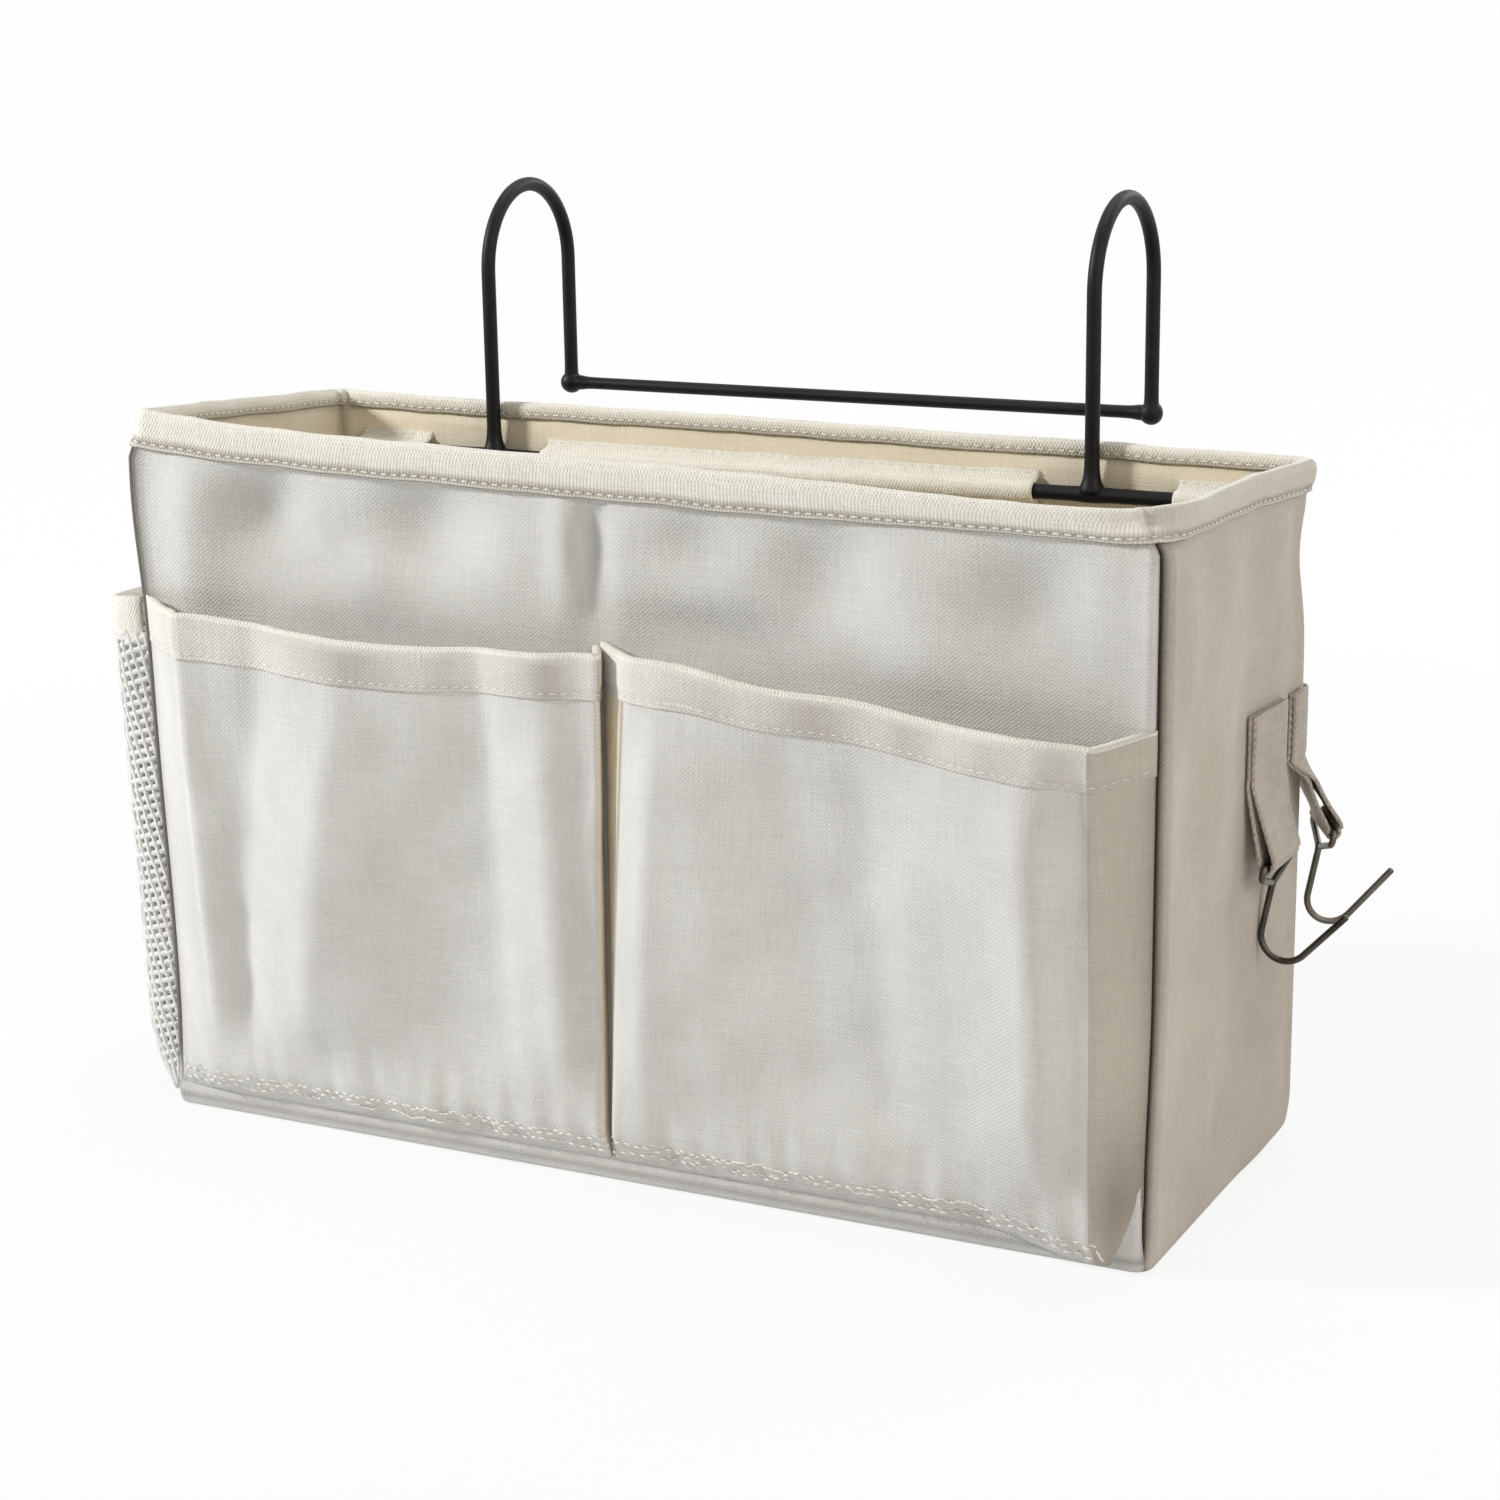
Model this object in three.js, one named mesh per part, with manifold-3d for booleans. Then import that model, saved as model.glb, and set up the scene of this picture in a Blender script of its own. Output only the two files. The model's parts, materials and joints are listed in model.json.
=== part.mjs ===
// Bedside caddy: a stiffened canvas box bag with two pleated front pockets, a mesh pocket on its left
// side and two webbing straps with wire hooks on its right side. A black wire frame hangs it on a bed
// rail: the frame's support rod turns in three sewn casings inside the back panel.
// Millimetres, +Z up. The origin is the centre of the underside. The front faces -Y, and +X is to the
// right of someone who looks at the front.
import * as THREE from "three";
import { mergeVertices } from "three/addons/utils/BufferGeometryUtils.js";
import Module from "manifold-3d";

// Bag
const bagWidth = 330;
const bagDepth = 120;
const bagHeight = 214;
const panelThickness = 2;
const cornerRadius = 6;
const seamGap = 0.3; // between pieces that are sewn or welded together
const bottomThickness = 2;
const boardThickness = 2;
const boardMargin = 1;

// Binding tape folded over the top edge
const bindingThickness = 1.2;
const bindingHeight = 10;

// Front pockets
const pocketBottom = 9;
const pocketTop = 160;
const pocketDepth = 15; // how far the outer fold stands out from the front panel
const pocketInnerDepth = 12; // the same at the fold beside the middle seam
const pocketSheet = 2;
const pocketBulge = 2;
const pocketFootShare = 0.35; // share of its depth that a pocket has just above its foot
const outerPleat = 11.5;
const innerPleat = 4;
const dividerWidth = 1;
const leftPocketDroop = 1;
const rightPocketDroop = 9; // the right pocket's mouth hangs lower at its outer fold
const pocketHemHeight = 13;
const pocketHemThickness = 1;

// Mesh pocket on the left side
const meshBottom = 6;
const meshTop = 160;
const meshBulge = 25;
const meshFootShare = 0.7;
const meshThickness = 2;
const meshColumns = 12;
const meshRows = 14;
const meshOpenShare = 0.84; // size of a diamond gap as a share of its cell
const meshBindingHeight = 14;
const meshBindingThickness = 1.2;

// Webbing straps on the right side
const strapWidth = 25;
const webbingThickness = 1.2;
const strapTop = 142;
const strapTabHeight = 20;
const strapLength = 23; // from the line where it flexes to the hook's bar
const strapSlotLength = 13;
const strapSlotWidth = 1;
const frontStrapCentre = 27; // along the side, from the middle of the bag
const frontStrapLean = 13;
const rearStrapTurn = 28; // degrees that the rear strap lies round the rear corner
const rearStrapLean = 27;

// Wire hooks on the straps
const strapHookWire = 2;
const strapHookPlay = 0.5;
const strapHookSide = 3.5;
const strapHookApex = 8;
const strapHookStem = 15;
const strapHookBend = 7.3;
const strapHookTip = 18;
const strapHookTipAngle = 58;
const strapHookLean = 11;
const strapHookCorner = 1.5;

// Rail frame
const frameWire = 4.5;
const frameGap = 0.3; // between the legs and the binding that they lean on
const rodDiameter = 4.5;
const rodDrop = 19; // the rod's axis below the bag's top edge
const rodEndMargin = 4;
const hookSpacing = 206;
const hookReach = 52; // between the centre lines of a hook's legs
const hookRise = 85; // the crown's centre line above the rod's axis
const crossbarWire = 4;
const crossbarRise = 17; // above the rod's axis
const knobDiameter = 7.4;
const knobSeat = 1.2; // the leg ends this far above the knob's middle

// Casings for the support rod
const casingSheet = 1;
const casingPlay = 0.3;
const casingAbove = 6.5; // sewn edges above and below the rod's axis
const casingBelow = 7;
const casingWrap = 100; // degrees that the sheet bends round the rod, above and below its middle
const gapInside = 18; // bare rod from a leg to the middle casing
const gapOutside = 26; // bare rod from a leg to an outer casing
const casingEndMargin = 3;

// Facets
const wireSides = 10;
const fineWireSides = 8;
const arcSegments = 4;
const strapHookSteps = 64;
const railHookSteps = 44;

const degrees = Math.PI / 180;
const halfWidth = bagWidth / 2;
const halfDepth = bagDepth / 2;
const cornerX = halfWidth - cornerRadius;
const cornerY = halfDepth - cornerRadius;
const wallBottom = bottomThickness + seamGap;
const wallTop = bagHeight - bindingThickness - seamGap;
const innerFaceY = halfDepth - panelThickness;
const rodHeight = bagHeight - rodDrop;
const hookTop = rodHeight + hookRise;
const crossbarHeight = rodHeight + crossbarRise;
const sides = { left: -1, right: 1 };

const wasm = await Module();
wasm.setup();

const finish = (color, roughness, metalness) =>
  new THREE.MeshStandardMaterial({ color, roughness, metalness });
const canvas = finish(0xd8d4cb, 0.92, 0);
const lining = finish(0xcfc6b2, 0.95, 0);
const tape = finish(0xe2dccd, 0.9, 0);
const mesh = finish(0xeeeeec, 0.85, 0);
const webbing = finish(0xa8a294, 0.9, 0);
const board = finish(0xe6e2d8, 0.7, 0);
const blackSteel = finish(0x111111, 0.45, 0.6);
const darkNickel = finish(0x5a5852, 0.35, 0.9);

const caddy = new THREE.Group();

function add(name, geometry, material, parent = caddy) {
  const piece = new THREE.Mesh(geometry, material);
  piece.name = name;
  parent.add(piece);
  return piece;
}

function toSolid(geometry) {
  const bare = geometry.clone();
  bare.deleteAttribute("normal");
  bare.deleteAttribute("uv");
  const merged = mergeVertices(bare);
  const vertProperties = new Float32Array(merged.attributes.position.array);
  const triVerts = new Uint32Array(merged.index.array);
  return new wasm.Manifold(new wasm.Mesh({ numProp: 3, vertProperties, triVerts }));
}

function cut(geometry, ...tools) {
  const solid = tools.reduce((rest, tool) => rest.subtract(toSolid(tool)), toSolid(geometry));
  const { vertProperties, triVerts } = solid.getMesh();
  const made = new THREE.BufferGeometry();
  made.setAttribute("position", new THREE.BufferAttribute(vertProperties, 3));
  made.setIndex(new THREE.BufferAttribute(triVerts, 1));
  return made;
}

function extrude(shape, height, bottom = 0) {
  const settings = { depth: height, bevelEnabled: false, curveSegments: arcSegments };
  return new THREE.ExtrudeGeometry(shape, settings).translate(0, 0, bottom);
}

const cylinder = (diameter, length) =>
  new THREE.CylinderGeometry(diameter / 2, diameter / 2, length, wireSides);

// The bag's plan outline, moved out by an offset
function bagOutline(offset) {
  const radius = Math.max(0.5, cornerRadius + offset);
  const x = halfWidth + offset - radius;
  const y = halfDepth + offset - radius;
  const shape = new THREE.Shape();
  shape.absarc(x, -y, radius, -Math.PI / 2, 0);
  shape.absarc(x, y, radius, 0, Math.PI / 2);
  shape.absarc(-x, y, radius, Math.PI / 2, Math.PI);
  shape.absarc(-x, -y, radius, Math.PI, 1.5 * Math.PI);
  return shape;
}

function outlineRing(outerOffset, innerOffset, height, bottom) {
  const shape = bagOutline(outerOffset);
  shape.holes.push(bagOutline(innerOffset));
  return extrude(shape, height, bottom);
}

// A wall runs from the seam in the middle of one corner to the seam in the middle of the next
function wall(first, second, facing) {
  const inner = Math.max(0.5, cornerRadius - panelThickness);
  const start = facing * degrees - Math.PI / 4;
  const middle = facing * degrees;
  const end = facing * degrees + Math.PI / 4;
  const [ax, ay] = [first[0] * cornerX, first[1] * cornerY];
  const [bx, by] = [second[0] * cornerX, second[1] * cornerY];
  const trim = (radius) => seamGap / 2 / radius;
  const shape = new THREE.Shape();
  shape.absarc(ax, ay, cornerRadius, start + trim(cornerRadius), middle, false);
  shape.absarc(bx, by, cornerRadius, middle, end - trim(cornerRadius), false);
  shape.absarc(bx, by, inner, end - trim(inner), middle, true);
  shape.absarc(ax, ay, inner, middle, start + trim(inner), true);
  return extrude(shape, wallTop - wallBottom, wallBottom);
}

add("front_panel", wall([-1, -1], [1, -1], 270), canvas);
add("right_side_panel", wall([1, -1], [1, 1], 0), canvas);
add("back_panel", wall([1, 1], [-1, 1], 90), canvas);
add("left_side_panel", wall([-1, 1], [-1, -1], 180), canvas);
add("bottom_panel", extrude(bagOutline(0), bottomThickness), canvas);

const boardOutline = bagOutline(-panelThickness - boardMargin);
add("base_board", extrude(boardOutline, boardThickness, wallBottom), board);

const tapeOut = seamGap + bindingThickness;
const tapeBottom = bagHeight - bindingHeight;
const tapeRing = outlineRing(tapeOut, -panelThickness - tapeOut, bindingHeight, tapeBottom);
const tapeChannel = outlineRing(
  seamGap,
  -panelThickness - seamGap,
  bindingHeight,
  tapeBottom - bindingThickness,
);
add("rim_binding", cut(tapeRing, tapeChannel), tape);

// A row of a sheet is a path of points, and outwards is to the right of the path in plan
function offsetRow(row, distance) {
  const facing = (a, b) => new THREE.Vector2(b.y - a.y, a.x - b.x).normalize();
  return row.map((point, i) => {
    const before = i > 0 ? facing(row[i - 1], point) : facing(point, row[i + 1]);
    const after = i < row.length - 1 ? facing(point, row[i + 1]) : before;
    const normal = before.clone().add(after).normalize();
    const reach = distance / normal.dot(after);
    return new THREE.Vector3(point.x + normal.x * reach, point.y + normal.y * reach, point.z);
  });
}

// A closed sheet through the rows, from the lowest up, with a diamond gap in each cell if asked
function sheet(rows, thickness, openShare = 0) {
  const outer = rows.map((row) => offsetRow(row, thickness / 2));
  const inner = rows.map((row) => offsetRow(row, -thickness / 2));
  const positions = [];
  const face = (...corners) => {
    for (let i = 2; i < corners.length; i += 1) {
      for (const p of [corners[0], corners[i - 1], corners[i]]) positions.push(p.x, p.y, p.z);
    }
  };
  const gapIn = (corners) => {
    const centre = corners.reduce((sum, p) => sum.add(p), new THREE.Vector3()).divideScalar(4);
    return corners.map((p, i) => {
      const edge = p.clone().lerp(corners[(i + 1) % 4], 0.5);
      return centre.clone().lerp(edge, openShare);
    });
  };
  const frameRound = (corners, gap) => {
    corners.forEach((corner, i) => {
      face(corner, corners[(i + 1) % 4], gap[i]);
      face(corner, gap[i], gap[(i + 3) % 4]);
    });
  };
  const top = rows.length - 1;
  const end = rows[0].length - 1;
  for (let j = 0; j < top; j += 1) {
    for (let i = 0; i < end; i += 1) {
      const cell = (skin) => [skin[j][i], skin[j][i + 1], skin[j + 1][i + 1], skin[j + 1][i]];
      const front = cell(outer);
      const back = cell(inner);
      if (openShare === 0) {
        face(...front);
        face(back[1], back[0], back[3], back[2]);
      } else {
        const frontGap = gapIn(front);
        const backGap = gapIn(back);
        frameRound(front, frontGap);
        frameRound([back[1], back[0], back[3], back[2]], [backGap[0], backGap[3], backGap[2], backGap[1]]);
        frontGap.forEach((p, k) => face(p, frontGap[(k + 1) % 4], backGap[(k + 1) % 4], backGap[k]));
      }
    }
    face(outer[j][0], outer[j + 1][0], inner[j + 1][0], inner[j][0]);
    face(outer[j][end], inner[j][end], inner[j + 1][end], outer[j + 1][end]);
  }
  for (let i = 0; i < end; i += 1) {
    face(outer[top][i], outer[top][i + 1], inner[top][i + 1], inner[top][i]);
    face(outer[0][i], inner[0][i], inner[0][i + 1], outer[0][i + 1]);
  }
  const geometry = new THREE.BufferGeometry();
  geometry.setAttribute("position", new THREE.Float32BufferAttribute(positions, 3));
  return geometry;
}

// How far a pocket stands out at a share of its height: sewn flat at the foot, then quickly proud
const footRun = 0.03;
const swell = (share, footShare) =>
  footShare * (1 - Math.exp(-share / footRun)) + (1 - footShare) * share;

// Front pockets: out from the middle seam to a fold, across, and back along a pleat to the corner
const pocketSeat = halfDepth + seamGap + pocketSheet / 2;
const pocketInnerX = dividerWidth / 2 + seamGap + pocketSheet + pocketHemThickness;
const pocketFrontSteps = 6;
const pocketLowerShares = [0, 0.02, 0.05, 0.1, 0.3, 0.6, 1];

function pocketSpots() {
  const foldX = pocketInnerX + innerPleat;
  const outerFoldX = cornerX - outerPleat;
  const front = Array.from({ length: pocketFrontSteps + 1 }, (_, i) => {
    const along = i / pocketFrontSteps;
    const bulge = pocketBulge * Math.sin(Math.PI * along);
    const depth = pocketInnerDepth + (pocketDepth - pocketInnerDepth) * along + bulge;
    return { x: foldX + (outerFoldX - foldX) * along, depth, along };
  });
  return [{ x: pocketInnerX, depth: 0, along: 0 }, ...front, { x: cornerX, depth: 0, along: 1 }];
}

function pocketRow(side, droop, heightFor) {
  const row = pocketSpots().map(({ x, depth, along }) => {
    const top = pocketTop - droop * along ** 2;
    const z = heightFor(top);
    const out = swell((z - pocketBottom) / (top - pocketBottom), pocketFootShare);
    return new THREE.Vector3(side * x, -pocketSeat - depth * out, z);
  });
  return side > 0 ? row : row.reverse();
}

function addPocket(name, side, droop) {
  const lower = pocketLowerShares.map((share) =>
    pocketRow(side, droop, (top) => pocketBottom + share * (top - pocketHemHeight - pocketBottom)),
  );
  const mouth = pocketRow(side, droop, (top) => top);
  add(`${name}_pocket`, sheet([...lower, mouth], pocketSheet), canvas);
  const hemOut = pocketSheet / 2 + seamGap + pocketHemThickness / 2;
  const hem = [lower[lower.length - 1], mouth].map((row) => offsetRow(row, hemOut));
  add(`${name}_pocket_hem`, sheet(hem, pocketHemThickness), tape);
}

addPocket("left", sides.left, leftPocketDroop);
addPocket("right", sides.right, rightPocketDroop);

// Mesh pocket: a boxy swell over the left side panel, with a binding round its mouth
const meshSeat = halfWidth + seamGap + meshThickness / 2;

function meshRow(z) {
  const out = meshBulge * swell((z - meshBottom) / (meshTop - meshBottom), meshFootShare);
  return Array.from({ length: meshColumns + 1 }, (_, i) => {
    const turn = (Math.PI * i) / meshColumns;
    const boxy = Math.sqrt(Math.max(0, Math.sin(turn)));
    return new THREE.Vector3(-meshSeat - out * boxy, cornerY * Math.cos(turn), z);
  });
}

const meshBindingBottom = meshTop - meshBindingHeight;
const meshNet = Array.from({ length: meshRows + 1 }, (_, j) =>
  meshRow(meshBottom + ((meshBindingBottom - meshBottom) * j) / meshRows),
);
const meshMouth = meshRow(meshTop);
add("mesh_pocket", sheet([...meshNet, meshMouth], meshThickness, meshOpenShare), mesh);

const meshBindingOut = meshThickness / 2 + seamGap + meshBindingThickness / 2;
const meshBinding = [meshNet[meshRows], meshMouth].map((row) => offsetRow(row, meshBindingOut));
add("mesh_pocket_binding", sheet(meshBinding, meshBindingThickness), tape);

// A wire along a path, and a path whose corners are rounded
function wire(path, diameter, sideCount, steps) {
  const section = new THREE.Shape();
  for (let i = 0; i < sideCount; i += 1) {
    const turn = (2 * Math.PI * i) / sideCount;
    const x = (diameter / 2) * Math.cos(turn);
    const y = (diameter / 2) * Math.sin(turn);
    if (i === 0) section.moveTo(x, y);
    else section.lineTo(x, y);
  }
  return new THREE.ExtrudeGeometry(section, { steps, extrudePath: path });
}

function roundedPath(points, radius) {
  const path = new THREE.CurvePath();
  let from = points[0];
  for (let i = 1; i < points.length - 1; i += 1) {
    const corner = points[i];
    const near = corner.clone().add(points[i - 1].clone().sub(corner).setLength(radius));
    const far = corner.clone().add(points[i + 1].clone().sub(corner).setLength(radius));
    path.add(new THREE.LineCurve3(from, near));
    path.add(new THREE.QuadraticBezierCurve3(near, corner, far));
    from = far;
  }
  path.add(new THREE.LineCurve3(from, points[points.length - 1]));
  return path;
}

// An arc in X and Z or Y and Z, as short straight runs
function addArc(path, steps, pointAt) {
  for (let k = 0; k < steps; k += 1) {
    path.add(new THREE.LineCurve3(pointAt(k / steps), pointAt((k + 1) / steps)));
  }
}

// Straps, drawn with x outwards from the bag, y along the strap's width and z up
const strapThickness = 2 * webbingThickness;
const tabBottom = strapTop - strapTabHeight;
const flexDrop = strapThickness / 2 + seamGap;
const loopHole = strapHookWire / 2 + strapHookPlay;
const tabRadius = cornerRadius + seamGap + strapThickness / 2;

// The sewn tab follows the bag's outline, and the rear one bends round the rear right corner
function tabPoint(centreY, turn, run) {
  const past = run + tabRadius * turn * degrees; // run from the start of the corner
  const angle = past / tabRadius;
  if (turn === 0) return [cornerX + tabRadius, centreY + run];
  if (angle <= 0) return [cornerX + tabRadius, centreY + past];
  if (angle < Math.PI / 2) {
    return [cornerX + tabRadius * Math.cos(angle), centreY + tabRadius * Math.sin(angle)];
  }
  return [cornerX - (past - tabRadius * (Math.PI / 2)), centreY + tabRadius];
}

function strapTab(centreY, turn) {
  const steps = turn === 0 ? 1 : 14;
  const spots = Array.from({ length: steps + 1 }, (_, i) =>
    tabPoint(centreY, turn, strapWidth * (i / steps - 0.5)),
  );
  const rows = [tabBottom, strapTop].map((z) => spots.map(([x, y]) => new THREE.Vector3(x, y, z)));
  return sheet(rows, strapThickness);
}

function strapLoop() {
  const loop = new THREE.Shape();
  loop.absarc(0, 0, strapThickness / 2, 0, Math.PI, false);
  loop.absarc(0, -strapLength, loopHole + webbingThickness, Math.PI, 2 * Math.PI, false);
  const slot = new THREE.Path();
  slot.absarc(0, -strapLength, loopHole, Math.PI, 2 * Math.PI, false);
  slot.lineTo(strapSlotWidth / 2, -strapLength + strapSlotLength);
  slot.lineTo(-strapSlotWidth / 2, -strapLength + strapSlotLength);
  loop.holes.push(slot);
  return extrude(loop, strapWidth).rotateX(Math.PI / 2).translate(0, strapWidth / 2, 0);
}

// One bent wire: a five-sided eye in the strap's loop, a stem, a bend outwards and a straight tip
function strapHook() {
  const halfBar = strapWidth / 2 + seamGap + strapHookWire / 2;
  const endOffset = 1.3 * strapHookWire; // the wire's first end lies beside the stem
  const slope = (strapHookApex - strapHookSide) / halfBar;
  const bendZ = -strapHookApex - strapHookStem;
  const eye = [
    [-endOffset, -strapHookApex + endOffset * slope],
    [-halfBar, -strapHookSide],
    [-halfBar, 0],
    [halfBar, 0],
    [halfBar, -strapHookSide],
    [0, -strapHookApex],
    [0, bendZ],
  ].map(([y, z]) => new THREE.Vector3(0, y, z));
  const path = roundedPath(eye, Math.min(strapHookCorner, 0.45 * strapHookSide));
  const sweep = (90 + strapHookTipAngle) * degrees;
  const bendPoint = (share) => {
    const angle = sweep * share;
    const x = strapHookBend * (1 - Math.cos(angle));
    return new THREE.Vector3(x, 0, bendZ - strapHookBend * Math.sin(angle));
  };
  addArc(path, 9, bendPoint);
  const rise = strapHookTipAngle * degrees;
  const tip = new THREE.Vector3(Math.cos(rise), 0, Math.sin(rise)).multiplyScalar(strapHookTip);
  path.add(new THREE.LineCurve3(bendPoint(1), bendPoint(1).add(tip)));
  return wire(path, strapHookWire, fineWireSides, strapHookSteps);
}

function addStrap(name, centreY, turn, lean) {
  add(`${name}_strap_tab`, strapTab(centreY, turn), webbing);
  const flex = new THREE.Group();
  const x = cornerX + tabRadius * Math.cos(turn * degrees);
  const y = centreY + tabRadius * Math.sin(turn * degrees);
  flex.position.set(x, y, tabBottom - flexDrop);
  flex.rotation.z = turn * degrees;
  caddy.add(flex);
  add(`${name}_strap_loop`, strapLoop(), webbing, flex).rotation.y = -lean * degrees;
  const hook = add(`${name}_strap_hook`, strapHook(), darkNickel, flex);
  hook.position.set(strapLength * Math.sin(lean * degrees), 0, -strapLength * Math.cos(lean * degrees));
  hook.rotation.y = strapHookLean * degrees;
}

addStrap("front", frontStrapCentre, 0, frontStrapLean);
addStrap("rear", cornerY, rearStrapTurn, rearStrapLean);

// Rail frame: the legs lean on the binding's inner face, and the rod runs under them in its casings
const legY = innerFaceY - tapeOut - frameGap - frameWire / 2;
const rearLegY = legY + hookReach;
const casingEnd = cornerX - casingEndMargin;
const rodLength = 2 * (casingEnd - rodEndMargin);
add("support_rod", cylinder(rodDiameter, rodLength).rotateZ(Math.PI / 2), blackSteel).position.set(
  0,
  legY,
  rodHeight,
);

function railHook() {
  const radius = hookReach / 2;
  const crown = hookTop - radius;
  const at = (y, z) => new THREE.Vector3(0, y, z);
  const path = new THREE.CurvePath();
  path.add(new THREE.LineCurve3(at(legY, rodHeight + rodDiameter / 2 + seamGap), at(legY, crown)));
  addArc(path, 18, (share) => {
    const angle = Math.PI * (1 - share);
    return at(legY + radius * (1 + Math.cos(angle)), crown + radius * Math.sin(angle));
  });
  path.add(new THREE.LineCurve3(at(rearLegY, crown), at(rearLegY, crossbarHeight + knobSeat)));
  return wire(path, frameWire, wireSides, railHookSteps);
}

// A ball where a rear leg meets the crossbar, with a socket for each
function knob(side) {
  const socketLength = 2 * knobDiameter;
  const legSocket = cylinder(frameWire + 2 * seamGap, socketLength)
    .rotateX(Math.PI / 2)
    .translate(0, 0, knobSeat - seamGap + socketLength / 2);
  const barSocket = cylinder(crossbarWire + 2 * seamGap, socketLength)
    .rotateZ(Math.PI / 2)
    .translate(-side * (frameWire / 2 + socketLength / 2), 0, 0);
  return cut(new THREE.SphereGeometry(knobDiameter / 2, 14, 9), legSocket, barSocket);
}

for (const [name, side] of Object.entries(sides)) {
  const x = (side * hookSpacing) / 2;
  add(`${name}_hook`, railHook(), blackSteel).position.x = x;
  add(`${name}_knob`, knob(side), blackSteel).position.set(x, rearLegY, crossbarHeight);
}
const crossbarLength = hookSpacing - frameWire - 2 * seamGap;
add("crossbar", cylinder(crossbarWire, crossbarLength).rotateZ(Math.PI / 2), blackSteel).position.set(
  0,
  rearLegY,
  crossbarHeight,
);

// Casings: a strip of canvas sewn to the back panel above and below the rod, drawn in Y and Z
function casing(from, to) {
  const sewnY = innerFaceY - seamGap - casingSheet / 2;
  const bend = rodDiameter / 2 + casingPlay + casingSheet / 2;
  const shoulder = bend + casingSheet;
  const bendSteps = 8;
  const bendStart = casingWrap * degrees;
  const round = Array.from({ length: bendSteps + 1 }, (_, i) => {
    const angle = bendStart * (1 - (2 * i) / bendSteps);
    return [legY - bend * Math.cos(angle), bend * Math.sin(angle)];
  });
  const profile = [
    [sewnY, casingAbove],
    [sewnY, shoulder],
    ...round,
    [sewnY, -shoulder],
    [sewnY, -casingBelow],
  ];
  const rows = [from, to].map((x) => profile.map(([y, z]) => new THREE.Vector3(y, rodHeight + z, x)));
  const toBag = new THREE.Matrix4().makeBasis(
    new THREE.Vector3(0, 1, 0),
    new THREE.Vector3(0, 0, 1),
    new THREE.Vector3(1, 0, 0),
  );
  return sheet(rows, casingSheet).applyMatrix4(toBag);
}

const gapStart = hookSpacing / 2 - gapInside;
const gapEnd = hookSpacing / 2 + gapOutside;
add("casing_left", casing(-casingEnd, -gapEnd), lining);
add("casing_middle", casing(-gapStart, gapStart), lining);
add("casing_right", casing(gapEnd, casingEnd), lining);

export default caddy;
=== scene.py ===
import json
import math
import bpy
import numpy as np
from mathutils import Matrix, Vector, noise


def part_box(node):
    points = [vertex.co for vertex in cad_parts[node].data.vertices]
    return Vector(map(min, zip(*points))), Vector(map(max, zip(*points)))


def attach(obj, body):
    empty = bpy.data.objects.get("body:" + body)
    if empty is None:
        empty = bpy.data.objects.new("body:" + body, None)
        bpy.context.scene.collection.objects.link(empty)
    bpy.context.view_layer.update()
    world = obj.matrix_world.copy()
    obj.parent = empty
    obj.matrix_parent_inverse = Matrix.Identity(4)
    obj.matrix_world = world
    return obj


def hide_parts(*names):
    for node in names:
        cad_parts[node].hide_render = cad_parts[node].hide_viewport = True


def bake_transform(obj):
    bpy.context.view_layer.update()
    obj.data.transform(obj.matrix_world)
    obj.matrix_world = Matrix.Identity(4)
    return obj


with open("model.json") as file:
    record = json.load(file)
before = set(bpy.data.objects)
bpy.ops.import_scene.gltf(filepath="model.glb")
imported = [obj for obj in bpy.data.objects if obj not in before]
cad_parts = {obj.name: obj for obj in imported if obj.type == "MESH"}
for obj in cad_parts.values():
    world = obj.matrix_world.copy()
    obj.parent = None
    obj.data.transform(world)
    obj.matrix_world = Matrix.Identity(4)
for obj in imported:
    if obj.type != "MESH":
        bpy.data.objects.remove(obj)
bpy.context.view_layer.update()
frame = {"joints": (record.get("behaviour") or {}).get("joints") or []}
scene = bpy.context.scene
scene.view_settings.view_transform = "Standard"
joints = {joint["name"]: joint for joint in frame["joints"]}
metre = 0.001  # everything below is written in millimetres


def cornersOf(node):
    low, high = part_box(node)
    return np.array(low) / metre, np.array(high) / metre


def smooth(low, high, value):
    share = np.clip((np.asarray(value, float) - low) / (high - low), 0, 1)
    return share * share * (3 - 2 * share)


def hump(value, centre, width):
    return np.exp(-((np.asarray(value, float) - centre) / width) ** 2)


def grain(points, size, seed):
    # soft random field of about -1 to 1, with features about size millimetres long
    points = np.asarray(points, float)
    flat = points.reshape(-1, 3) / size + seed * 7.31
    values = [noise.noise(Vector(spot)) for spot in flat]
    return np.array(values).reshape(points.shape[:-1])


def unit(vectors):
    vectors = np.asarray(vectors, float)
    return vectors / np.maximum(np.linalg.norm(vectors, axis=-1, keepdims=True), 1e-9)


def spaced(count, length, rim=0.7):
    # shares from 0 to 1 with one extra line just inside each end, so that edges look rounded
    inner = np.linspace(rim / length, 1 - rim / length, count)
    return np.concatenate([[0], inner, [1]])


def slopes(grid, axis, closed):
    if closed:
        return np.roll(grid, -1, axis) - np.roll(grid, 1, axis)
    return np.gradient(grid, axis=axis)


def gridNormals(grid, closed=False):
    return unit(np.cross(slopes(grid, 1, closed), slopes(grid, 0, False)))


def rowFacing(row, closed=False):
    # which way upright cloth faces along a level line
    return gridNormals(np.stack([row, row + (0, 0, 1)]), closed)[0]


def runs(points, closed=False):
    if closed:
        points = np.concatenate([points, points[:1]])
    steps = np.linalg.norm(np.diff(points, axis=0), axis=1)
    return np.concatenate([[0], np.cumsum(steps)])


def linked(name, data):
    made = bpy.data.objects.new(name, data)
    scene.collection.objects.link(made)
    return made


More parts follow.
